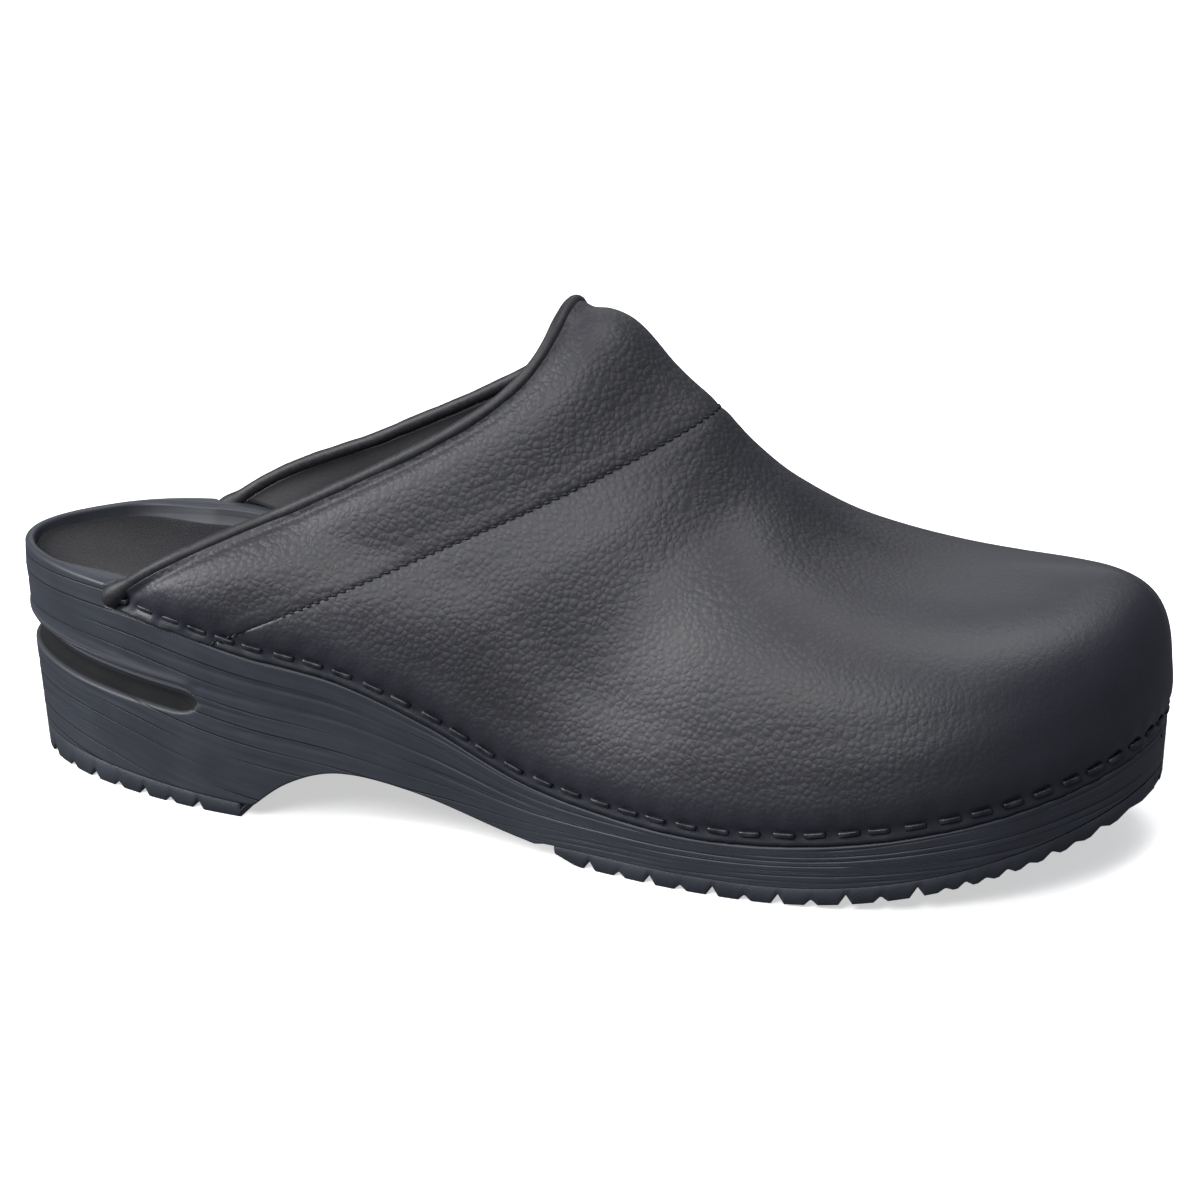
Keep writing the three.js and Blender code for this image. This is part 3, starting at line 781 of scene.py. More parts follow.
class PebbledLeather(Finish):
    """Black full-grain leather, tumbled and waxed: soft pebbles, open valleys, satin sheen."""

    name = "black pebbled leather"
    slot = Slot.LEATHER
    pebble_mm = 1.5
    pore_mm = 0.5
    warp_mm = 1.6
    warp_size_mm = 6
    patch_mm = 16

    def build(self) -> None:
        """Pebbles that fade where the marked strength is low, pores, painted shade in the valleys and a
        smudged sheen.
        """
        tree = self.tree
        strength = node(tree, "ShaderNodeAttribute", {"attribute_name": "grain"}).outputs["Fac"]
        place = self.object_place()
        settings = {"Scale": 1 / (self.warp_size_mm * MM), "Detail": 2}
        warp = node(tree, "ShaderNodeTexNoise", settings, {"Vector": place})
        moved = node(tree, "ShaderNodeVectorMath", {"operation": "SUBTRACT"}, {0: warp.outputs["Color"]})
        moved.inputs[1].default_value = (0.5, 0.5, 0.5)
        settings = {"operation": "SCALE", "Scale": self.warp_mm * MM}
        small = node(tree, "ShaderNodeVectorMath", settings, {0: moved.outputs[0]})
        at = node(tree, "ShaderNodeVectorMath", {"operation": "ADD"}, {0: place, 1: small.outputs[0]})
        settings = {"feature": "SMOOTH_F1", "Scale": 1 / (self.pebble_mm * MM), "Smoothness": 0.45}
        cells = node(tree, "ShaderNodeTexVoronoi", settings, {"Vector": at.outputs[0]})
        domes = combine(tree, "SUBTRACT", 0.8, cells.outputs["Distance"])
        settings = {"feature": "DISTANCE_TO_EDGE", "Scale": 1 / (self.pebble_mm * MM)}
        edges = node(tree, "ShaderNodeTexVoronoi", settings, {"Vector": at.outputs[0]})
        settings = {"From Max": 0.3, "interpolation_type": "SMOOTHSTEP"}
        valley = node(tree, "ShaderNodeMapRange", settings, {"Value": edges.outputs["Distance"]})
        relief = combine(tree, "ADD", domes, combine(tree, "MULTIPLY", valley.outputs[0], 0.18))
        relief = combine(tree, "MULTIPLY", relief, strength)
        patches = self.noise(place, self.patch_mm, 3, 0.4)
        normal = self.bump(relief, 0.18)
        normal = self.bump(self.noise(place, self.pore_mm, 2), 0.045, normal)
        self.feed("Normal", self.bump(self.noise(place, 1.5, 3), 0.06, normal))
        colour = ramp(tree, patches, [(0.3, "2b2b30"), (0.5, "2f2f35"), (0.7, "333339")])
        wear_and_painted_light = node(tree, "ShaderNodeMix", {"data_type": "RGBA"}, {6: colour})
        wear_and_painted_light.inputs[7].default_value = linear("20232c")
        smooth = combine(tree, "SUBTRACT", 1.0, strength)
        tree.links.new(combine(tree, "MULTIPLY", smooth, 0.7), wear_and_painted_light.inputs[0])
        # The pebble valleys are painted darker: painted shade in the leather's valleys.
        valley_shaded = node(tree, "ShaderNodeMix", {"data_type": "RGBA"}, {6: wear_and_painted_light.outputs[2]})
        valley_shaded.inputs[7].default_value = linear("18181b")
        valley_shade = combine(tree, "MULTIPLY", combine(tree, "SUBTRACT", 1.0, valley.outputs[0]), strength)
        tree.links.new(combine(tree, "MULTIPLY", valley_shade, 0.4), valley_shaded.inputs[0])
        self.feed("Base Color", valley_shaded.outputs[2])
        polish = combine(tree, "MULTIPLY_ADD", strength, 0.12)
        polish.node.inputs[2].default_value = -0.12
        self.feed("Roughness", combine(tree, "ADD", scaled(tree, patches, 0.54, 0.6), polish))
        self.set(Specular_IOR_Level=0.5, Coat_Weight=0.05, Coat_Roughness=0.3)


class BindingLeather(Finish):
    """Thin skived leather rolled round the topline: smooth, finely wrinkled across the roll."""

    name = "black rolled binding leather"
    slot = Slot.LEATHER
    wrinkle_mm = 1.4

    def build(self) -> None:
        """Fine wrinkles and a slight polish."""
        tree = self.tree
        place = self.object_place()
        wrinkles = self.noise(place, self.wrinkle_mm, 3, 0.5)
        self.feed("Base Color", ramp(tree, wrinkles, [(0.3, "1a1a1e"), (0.7, "27272c")]))
        self.feed("Roughness", scaled(tree, wrinkles, 0.5, 0.62))
        self.feed("Normal", self.bump(wrinkles, 0.12))


class LiningLeather(Finish):
    """Lining leather in black dye, turned flesh side out: matt, softly napped."""

    name = "black lining leather"
    slot = Slot.LINING
    nap_mm = 0.7

    def build(self) -> None:
        """Nap and rubbed patches."""
        tree = self.tree
        place = self.object_place()
        patches = self.noise(place, 11, 4)
        self.feed("Base Color", ramp(tree, patches, [(0.3, "0f0f12"), (0.7, "1b1b20")]))
        self.feed("Roughness", scaled(tree, patches, 0.6, 0.8))
        self.feed("Normal", self.bump(self.noise(place, self.nap_mm, 3), 0.08))
        self.set(Sheen_Weight=0.15, Sheen_Roughness=0.5)


class Suede(Finish):
    """Dark suede footbed cover: short brushed pile that catches light at the edges."""

    name = "black brushed suede"
    slot = Slot.SUEDE
    fibre_mm = 0.45

    def build(self) -> None:
        """Fibre speckle and brushed patches."""
        tree = self.tree
        place = self.object_place()
        fibres = self.noise(place, self.fibre_mm, 4, 0.3)
        brushed = self.noise(place, 18, 3, 0.6)
        tone = combine(tree, "MULTIPLY", fibres, combine(tree, "ADD", brushed, 0.5))
        self.feed("Base Color", ramp(tree, tone, [(0.3, "07070a"), (0.55, "131318"), (0.75, "26262d")]))
        self.feed("Normal", self.bump(fibres, 0.18))
        self.set(Roughness=0.92, Sheen_Weight=0.12, Sheen_Roughness=0.45, Specular_IOR_Level=0.2)


class CellFoam(Finish):
    """Charcoal open-cell foam: pitted and dull."""

    name = "charcoal open-cell foam"
    slot = Slot.FOAM
    cell_mm = 0.9

    def build(self) -> None:
        """Cells."""
        tree = self.tree
        settings = {"Scale": 1 / (self.cell_mm * MM)}
        cells = node(tree, "ShaderNodeTexVoronoi", settings, {"Vector": self.object_place()})
        size = cells.outputs["Distance"]
        self.feed("Base Color", ramp(tree, size, [(0.0, "1e1e20"), (0.6, "434346")]))
        self.feed("Normal", self.bump(size, 0.3))
        self.set(Roughness=0.95)


class StapleWire(Finish):
    """Black-coated flattened steel wire, scuffed to a dull shine on top."""

    name = "black coated steel wire"
    slot = Slot.STAPLE
    scratch_mm = 0.4

    def build(self) -> None:
        """Drawn scratches and scuffed coating."""
        tree = self.tree
        rub = self.noise(self.object_place(), 3, 4)
        self.feed("Base Color", ramp(tree, rub, [(0.35, "26272b"), (0.7, "4a4b50")]))
        self.feed("Roughness", scaled(tree, rub, 0.3, 0.5))
        self.feed("Normal", self.bump(self.noise(self.object_place(), self.scratch_mm, 2), 0.03))
        self.set(Metallic=0.6)


class WaxedThread(Finish):
    """Black waxed polyester thread: three twisted plies."""

    name = "black waxed thread"
    slot = Slot.LEATHER
    ply_mm = 0.5

    def build(self) -> None:
        """Ply twist."""
        tree = self.tree
        plies = self.noise(self.object_place(), self.ply_mm, 1, 1)
        self.feed("Base Color", ramp(tree, plies, [(0.3, "08080a"), (0.7, "141416")]))
        self.feed("Normal", self.bump(plies, 0.15))
        self.set(Roughness=0.6)


class StudioFloor(Finish):
    """White matt paper sweep."""

    name = "white paper sweep"

    def build(self) -> None:
        """Almost even white with faint paper tooth."""
        tooth = self.noise(self.object_place(), 2, 3)
        self.feed("Base Color", ramp(self.tree, tooth, [(0.3, "fafafa"), (0.7, "fdfdfd")]))
        self.feed("Normal", self.bump(tooth, 0.02))
        self.set(Roughness=0.9, Specular_IOR_Level=0.0)
        self.set(Emission_Color=linear("ffffff"), Emission_Strength=0.55)


# ---- sub-assemblies --------------------------------------------------------------------------


@dataclass
class SoleBlock:
    """The carved sole: wall with grain relief, finger groove, ledge, rim and footbed recess."""

    last: Last
    columns: int = 380
    heel_front: float = 0.247
    tread_start: float = 0.524
    tread_back: float = 7.0
    tread_front: float = 3.6
    forefoot_tread: float = 4.3
    arch: tuple[tuple[float, float], ...] = (
        (0.247, 0), (0.293, 10.5), (0.341, 15.2), (0.403, 13.2), (0.485, 6), (0.522, 3.4),
    )
    bond: float = 0.06
    grain_base: tuple[tuple[float, float], ...] = (
        (0, 1), (0.1, -4), (0.22, -13), (0.38, -16), (0.5, -6), (0.62, 0), (1, 4),
    )
    grain_span: float = 46.0
    lane: float = 4.2
    band_depth: float = 0.05
    line_depth: float = 0.22
    line_width: float = 0.42
    ledge: float = 2.3
    groove_reach: float = 0.152
    groove_heights: tuple[float, float] = (33.0, 28.0)
    groove_half: float = 4.0
    groove_depth: float = 3.2
    groove_rows: float = 6.0
    lip_swell: float = 0.35
    middle_margin: float = 14.0
    corner: float = 0.06
    recess_drop: float = 5.1

    def underside(self, x: Array) -> Array:
        """Height of the sole block's lower surface.

        Args:
            x: Places along the shoe.

        Returns:
            Heights.
        """
        heel = self.heel_tread_top(x) + self.bond
        front = float(self.last.station(self.heel_front))
        breast = float(self.heel_tread_top(np.array(front))) + self.bond
        arch = np.maximum(self.last.along_sole(self.arch)(x), breast)
        seat = self.last.ground(x) + self.forefoot_tread + self.bond
        start = self.last.station(self.tread_start)
        middle = lerp(arch, seat, smoothstep(x, start - 3, start))
        return np.where(x < front, heel, np.where(x < start, middle, seat))

    def heel_tread_top(self, x: Array) -> Array:
        """Height of the parting line between the heel and its tread."""
        back, front = self.last.station(0), self.last.station(self.heel_front)
        return lerp(self.tread_back, self.tread_front, (x - back) / (front - back))

    def wall(self, turn: Array, z: Array) -> Array:
        """Points of the sole's wall at a turn and height, drawn in toward the ground.

        Args:
            turn: Turn round the outline: 0 heel back, 0.5 toe tip.
            z: Heights.

        Returns:
            Points, x and y.
        """
        x = self.last.rim(turn)[..., 0]
        share = np.clip(1 - z / self.last.edge_height(x), 0, 1)
        return self.last.rim(turn, self.last.inset(x) * share)

    def flow(self, x: Array, z: Array) -> Array:
        """Grain coordinate: lines of equal value run with the carved growth lines."""
        low = self.last.along_sole(self.grain_base)(x)
        return (z - low) / (self.last.edge_height(x) - low)

    def relief(self, along: Array, flow: Array) -> Array:
        """Depth of the carved relief: broad soft bands and a few sunk lines.

        Args:
            along: Distance round the outline.
            flow: Grain coordinate.

        Returns:
            Depths.
        """
        wander = flow * self.grain_span + 1.3 * value_noise(along / 34, flow * 5, 3)
        bands = value_noise(along / 90, wander / 3.1, 5)
        lane = wander / self.lane + 0.3 * value_noise(along / 60, flow * 6, 11)
        away = np.abs(lane - np.round(lane)) * self.lane
        shown = smoothstep(value_noise(along / 26, np.round(lane) * 7.3, 13), -0.2, 0.4)
        return self.band_depth * bands + self.line_depth * bell(away, self.line_width) * shown

    def half(self, side: Side) -> tuple[Array, Array, Array]:
        """One side of the block from the underside's middle round to the recess's middle.

        Args:
            side: Which side.

        Returns:
            Points, rows by columns by xyz, their surface map in millimetres, and the painted light at
            each point: 1 a pale painted highlight, -1 near-black painted shade.
        """
        last = self.last
        angle = np.linspace(0, math.pi, self.columns)
        share = (1 - np.cos(angle)) / 2
        turn = last.turn_at(side, last.station(share))
        rim = last.rim(turn)
        x = rim[:, 0]
        other = last.rim(last.turn_at(Side(-side.value), last.station(share)))
        middle_y = (rim[:, 1] + other[:, 1]) / 2
        margin = self.middle_margin
        middle_x = lerp(last.station(0) + margin, last.station(1) - margin, share)
        steps = np.linalg.norm(np.diff(rim, axis=0), axis=1)
        along = np.r_[0, np.cumsum(steps)]
        near_back = np.minimum(turn, 1 - turn)
        leather = smoothstep(near_back, 0.5 - last.back_reach - 0.001, 0.5 - last.back_reach + 0.001)

        edge, top = last.edge_height(x), last.rim_height(x)
        bottom_xy = self.wall(turn, self.underside(x))
        low = self.underside(bottom_xy[:, 0])
        reach = near_back / self.groove_reach
        centre = lerp(*self.groove_heights, np.minimum(reach, 1))
        share_low = (centre - self.groove_half - low) / (edge - low)
        end = int(np.argmax(reach >= 1))
        hold = np.arange(self.columns) >= end
        share_low = np.where(hold, share_low[end], share_low)
        wall = np.where(hold, edge[end] - low[end], edge - low)
        share_high = share_low + self.groove_rows / wall
        rows: list[Array] = []
        maps: list[Array] = []
        painted_groove_light: list[Array] = []

        def row(xy: Array, z: Array, flow: Array | None = None, groove_shade_and_highlight: Array | float = 0.0) -> None:
            """Adds one line along the sole.

            Args:
                xy: Places of the points.
                z: Heights.
                flow: Grain coordinate.
                groove_shade_and_highlight: Painted light at each point: 1 painted highlight, -1 painted
                    shade.
            """
            rows.append(np.concatenate([xy, np.broadcast_to(z, x.shape)[:, None]], 1))
            across = flow if flow is not None else self.flow(x, np.broadcast_to(z, x.shape))
            maps.append(np.stack([along * side.value, across * self.grain_span], 1))
            painted_groove_light.append(np.broadcast_to(groove_shade_and_highlight, x.shape))

        centre_xy = np.stack([middle_x, middle_y], 1)
        for s in np.linspace(0, 1, 9)[:-1]:
            xy = lerp(centre_xy, bottom_xy, s)
            row(xy, self.underside(xy[:, 0]))
        corner = self.corner
        for rise, pull in ((0.0, 1.0), (0.3, 0.3)):
            xy = self.wall(turn, low) - last.outward(turn) * (corner * pull)
            row(xy, low + corner * rise)
        foot, brow = np.zeros_like(x), np.ones_like(x)
        spans = [(foot, share_low, 30), (share_low, share_high, 16), (share_high, brow, 26)]
        for start, stop, count in spans:
            for s in (np.arange(count) + 1) / count:
                v = lerp(start, stop, s)
                z = low + corner + v * (edge - low - corner - 0.35)
                flow = self.flow(x, z)
                depth = self.relief(along * side.value, flow)
                fade = smoothstep(z - low, 0, 1.5) * smoothstep(edge - z, -1, 1.2)
                round_end = np.sqrt(np.clip(1 - np.clip((reach - 0.93) / 0.07, 0, 1) ** 2, 0, 1))
                level = (z - centre) / self.groove_half
                groove = np.clip(1 - (level / np.maximum(round_end, 0.02)) ** 2, 0, 1)
                groove = np.where(reach < 1, groove**0.85, 0)
                undercut = 1 - 0.15 * np.clip(level, -1, 1)
                lip = bell(z - centre - self.groove_half - 1.0, 1.3) * round_end * (reach < 1)
                depth = depth * fade * (1 - groove) * (1 - lip)
                depth = depth + groove * undercut * self.groove_depth * round_end - self.lip_swell * lip
                # Painted light in the finger groove: its lower half gets painted shade, its upper half a
                # painted reflection, and the lip above it a painted highlight.
                groove_shade_and_highlight = lerp(-1.0, 1.0, smoothstep(level, 0.0, 0.5)) * smoothstep(groove, 0.0, 0.3)
                groove_shade_and_highlight = groove_shade_and_highlight + 0.3 * smoothstep(lip, 0.3, 0.9) * (1 - smoothstep(groove, 0.0, 0.4))
                row(self.wall(turn, z) - last.outward(turn) * depth[:, None], z, flow, groove_shade_and_highlight)
        inward = self.ledge * leather
        row(last.rim(turn, 0.35 * leather), edge)
        for s in (0.4, 1.0):
            row(last.rim(turn, inward * s), edge + 0.02)
        lift = top - edge
        for s in np.linspace(0.12, 0.86, 9):
            z = edge + lift * s
            bare = (1 - leather) * smoothstep(top - z, 0.8, 2)
            depth = self.relief(along * side.value, self.flow(x, z)) * bare
            row(last.rim(turn, inward + depth), z)
        lip = last.lip(turn)
        for s, drop in ((0.08, 0.55), (0.25, 0.18), (0.5, 0.0), (0.78, 0.15), (0.95, 0.6), (1.0, 1.1)):
            row(last.rim(turn, inward + (lip - inward) * s), top - drop)
        inner = last.rim(turn, lip)
        row(inner, last.bed_height(inner[:, 0], inner[:, 1]) - self.recess_drop)
        for s in np.linspace(0, 1, 5)[1:]:
            xy = lerp(inner, centre_xy, s)
            row(xy, last.bed_height(xy[:, 0], xy[:, 1]) - self.recess_drop)
        return np.array(rows), np.array(maps), np.array(painted_groove_light)

    def build(self, shop: Workshop, finish: Finish) -> None:
        """Makes the block and puts it in place of its plain solid.

        Args:
            shop: Makes and dresses the meshes.
            finish: The piece's finish.
        """
        halves = zip(self.half(Side.OUTER), self.half(Side.INNER))
        points, uv, painted_groove_light = (np.concatenate([outer, inner[::-1]]) for outer, inner in halves)
        piece = shop.wrap("carved_sole", points, uv, {"painted_groove_light": painted_groove_light})
        shop.dress(piece, finish, ["sole_block"])


@dataclass
class TreadPad:
    """A rubber tread with notches cut straight across its lugs."""

    name: str
    sole: SoleBlock
    start: float
    stop: float
    first: float
    final: float
    stands_for: str
    pitch: float = 8.0
    deep: float = 2.4
    shallow: float = 1.3
    half_width: float = 1.6
    run_in: float = 0.0
    toe_from: float = 0.0
    toe_pitch: float = 0.0

    def top(self, x: Array) -> Array:
        """Height of the pad's upper face."""
        if self.stands_for == "heel_tread":
            return self.sole.heel_tread_top(x)
        return self.sole.last.ground(x) + self.sole.forefoot_tread

    def notches(self) -> tuple[Array, Array]:
        """Places of the notches and how deep each one is.

        Returns:
            Places and depths, one for each notch.
        """
        count = int((self.final - self.first) // self.pitch)
        begin = (self.first + self.final - count * self.pitch) / 2
        x = begin + np.arange(count + 1) * self.pitch
        depth = np.where(np.arange(count + 1) % 2, self.shallow, self.deep)
        if self.toe_pitch:
            keep = x < self.toe_from
            close = np.arange(self.toe_from + self.toe_pitch / 2, self.final + 4, self.toe_pitch)
            x = np.concatenate([x[keep], close])
            depth = np.concatenate([depth[keep], np.where(np.arange(len(close)) % 2, 1.2, 0.8)])
        return x, depth

    def stations(self) -> Array:
        """x of the sections, close together at the corners of each notch.

        Returns:
            Sorted places.
        """
        centres, _ = self.notches()
        w = self.half_width
        corners = [centres + s * w for s in (-1.1, -1, -0.85, -0.12, 0, 0.12, 0.85, 1, 1.1)]
        even = np.linspace(self.start, self.stop, 60)
        found = np.unique(np.round(np.concatenate([even, *corners]), 3))
        return found[(found >= self.start) & (found <= self.stop)]

    def bottom(self, x: Array) -> Array:
        """Height of the pad's lower face with its notches.

        Args:
            x: Places along the shoe.

        Returns:
            Heights.
        """
        rise = np.zeros_like(x)
        for centre, depth in zip(*self.notches()):
            away = np.abs(x - centre)
            rise = np.maximum(rise, depth * np.clip(1.15 * (1 - away / self.half_width), 0, 1))
        run_in = self.run_in * smoothstep(x, self.start + 3.5 * self.run_in, self.start)
        return self.sole.last.ground(x) + np.maximum(rise, run_in)

    def build(self, shop: Workshop, finish: Finish) -> None:
        """Makes the pad as a closed band of sections along the shoe.

        Args:
            shop: Makes and dresses the meshes.
            finish: The piece's finish.
        """
        last = self.sole.last
        x = self.stations()
        inset_ring = last.inset(last.ring[:, 0])
        sides = []
        for side in Side:
            turn = last.turn_at(side, x, inset_ring)
            low = np.concatenate([self.sole.wall(turn, self.bottom(x)), self.bottom(x)[:, None]], 1)
            top = self.top(x)
            upper = np.concatenate([self.sole.wall(turn, top), top[:, None]], 1)
            out = np.concatenate([last.outward(turn), np.zeros((len(x), 1))], 1)
            middle = lerp(low, upper, 0.5)
            below, above = low + [0, 0, 0.3], upper - [0, 0, 0.05]
            sides.append([low - out * 0.35, below, middle, above, upper - out * 0.05])
        outer, inner = sides
        across = [lerp(inner[0], outer[0], s) for s in np.linspace(0, 1, 9)]
        over = [lerp(outer[-1], inner[-1], s) for s in np.linspace(0, 1, 9)]
        loop = [*across, *outer[1:-1], *over, *inner[-2:0:-1], across[0]]
        grid = np.stack(loop, axis=1)
        middle_z = (self.bottom(x) + self.top(x)) / 2
        ends = []
        for k in (0, -1):
            shut = grid[k].copy()
            shut[:, 2] = middle_z[k]
            ends.append(shut[None])
        piece = shop.wrap(self.name, np.concatenate([ends[0], grid, ends[1]]))
        shop.dress(piece, finish, [self.stands_for])


@dataclass
class Footbed:
    """Padded insole in the sole's recess: suede over a foam cushion."""

    last: Last
    columns: int = 260
    cover: float = 1.2
    cushion: float = 3.0

    def build(self, shop: Workshop, suede: Finish, foam: Finish) -> None:
        """Makes the suede cover with turned edges, and the cushion under it.

        Args:
            shop: Makes and dresses the meshes.
            suede: The cover's finish.
            foam: The cushion's finish.
        """
        cover = shop.wrap("footbed_suede", self.shell(0.0, self.cover, 0.5))
        shop.dress(cover, suede, ["footbed_cover"])
        depth = self.cover + GAP
        cushion = shop.wrap("footbed_foam", self.shell(depth, depth + self.cushion, 0.4))
        shop.dress(cushion, foam, ["footbed_cushion"])

    def shell(self, top: float, bottom: float, roll: float) -> Array:
        """Grid of a layer between two depths under the footbed surface, its edge rolled over.

        Args:
            top: Depth of its upper face.
            bottom: Depth of its lower face.
            roll: Width of the rolled edge.

        Returns:
            Rows by columns by xyz.
        """
        last = self.last
        share = (1 - np.cos(np.linspace(0, math.pi, self.columns))) / 2
        halves = []
        for side in (Side.OUTER, Side.INNER):
            turn = last.turn_at(side, last.station(share))
            other = last.turn_at(Side(-side.value), last.station(share))
            middle_y = (last.rim(turn)[:, 1] + last.rim(other)[:, 1]) / 2
            middle_x = lerp(last.station(0) + 18, last.station(1) - 18, share)
            middle = np.stack([middle_x, middle_y], 1)
            edge = last.rim(turn, last.lip(turn) + GAP)
            inner = last.rim(turn, last.lip(turn) + GAP + roll)
            rows = []
            for s in np.linspace(0, 1, 26):
                xy = lerp(middle, inner, s)
                dimple = 0.12 * value_noise(xy[:, 0] / 16, xy[:, 1] / 16, 21)
                z = last.bed_height(xy[:, 0], xy[:, 1]) - top + dimple * (1 - s**8)
                rows.append(np.concatenate([xy, z[:, None]], 1))
            for s, drop in ((0.3, 0.12), (0.75, 0.45), (1.0, 1.0)):
                xy = lerp(inner, edge, s)
                z = last.bed_height(xy[:, 0], xy[:, 1]) - top - drop * roll
                rows.append(np.concatenate([xy, z[:, None]], 1))
            for s in (0.0, 0.5, 1.0):
                xy = lerp(edge, middle, s)
                z = last.bed_height(xy[:, 0], xy[:, 1]) - bottom
                rows.append(np.concatenate([xy, z[:, None]], 1))
            halves.append(rows)
        outer, inner_side = halves
        return np.array([*outer, *inner_side[::-1]])


@dataclass
class StapleRow:
    """Wire staples driven through the leather's lower margin into the sole."""

    last: Last
    pitch: float = 7.7
    crown: float = 5.2
    wire: float = 1.2
    leg: float = 6.5
    rise: float = 3.0
    rounding: float = 0.3
    separate: int = 46

    def margin(self) -> Array:
        """Line of staple places from the outer back end round the toe.

        Returns:
            Points, one row each.
        """
        turn = np.linspace(0.5 - self.last.back_reach, 0.5 + self.last.back_reach, 1200)
        xy = self.last.rim(turn)
        return np.concatenate([xy, (self.last.edge_height(xy[:, 0]) + self.rise)[:, None]], 1)

    def places(self) -> list[Matrix]:
        """Frames of the staples: x along the edge, y outward, z across the wire.

        Returns:
            One matrix for each staple.
        """
        line = self.margin()
        length = float(np.linalg.norm(np.diff(line, axis=0), axis=1).sum())
        count = int(length // self.pitch)
        rng = np.random.default_rng(8)
        made = []
        for k in range(count):
            slide = rng.uniform(-0.7, 0.7) if k >= self.separate or k % 3 else 0.0
            shares = (k + 0.5 + slide / self.pitch + np.array([-0.01, 0, 0.01])) / count
            a, at, b = resample(line, shares)
            tangent = Vector(b - a).normalized()
            out = Vector((tangent.y, -tangent.x, 0)).normalized()
            up = tangent.cross(out)
            tilt = Matrix.Rotation(rng.uniform(-0.06, 0.06), 4, "Y")
            frame = Matrix((tangent, out, up)).transposed().to_4x4()
            made.append(Matrix.Translation(Vector(at)) @ frame @ tilt)
        return made

    def build(self, shop: Workshop, finish: Finish) -> None:
        """Bends a flattened wire into each staple."""
        for k, place in enumerate(self.places()):
            bm = bmesh.new()
            size = Matrix.Diagonal((self.crown, self.wire * 0.75, self.wire, 1))
            bmesh.ops.create_cube(bm, size=1, matrix=size)
            inner = self.crown / 2 - self.wire
            for sign in (-1, 1):
                cut = {"plane_co": (sign * inner, 0, 0), "plane_no": (1, 0, 0)}
                bmesh.ops.bisect_plane(bm, geom=bm.verts[:] + bm.edges[:] + bm.faces[:], **cut)
            legs = [f for f in bm.faces if f.normal.y < -0.9 and abs(f.calc_center_median().x) > inner]
            grown = bmesh.ops.extrude_discrete_faces(bm, faces=legs)["faces"]
            for face in grown:
                bmesh.ops.translate(bm, verts=face.verts, vec=(0, -self.leg, 0))
            bmesh.ops.remove_doubles(bm, verts=bm.verts, dist=1e-4)
            edges = [e for e in bm.edges if len(e.link_faces) == 2 and e.calc_face_angle(0) > 0.5]
            shape = {"offset": self.rounding, "segments": 2, "profile": 0.5, "clamp_overlap": True}
            bmesh.ops.bevel(bm, geom=edges, affect="EDGES", material=-1, **shape)
            for vert in bm.verts:
                vert.co.y += 0.1 - 0.35 * (vert.co.x / (self.crown / 2)) ** 6 * (vert.co.y > -1)
            to_frame = Matrix.Translation(self.last.offset) @ Matrix.Diagonal((MM, MM, MM, 1))
            bmesh.ops.transform(bm, verts=bm.verts, matrix=to_frame @ place)
            bmesh.ops.recalc_face_normals(bm, faces=bm.faces)
            piece = shop.finish(f"wire_staple_{k + 1:02d}", bm)
            named = [f"staple_{k + 1:02d}"] if k < self.separate else []
            shop.dress(piece, finish, named)


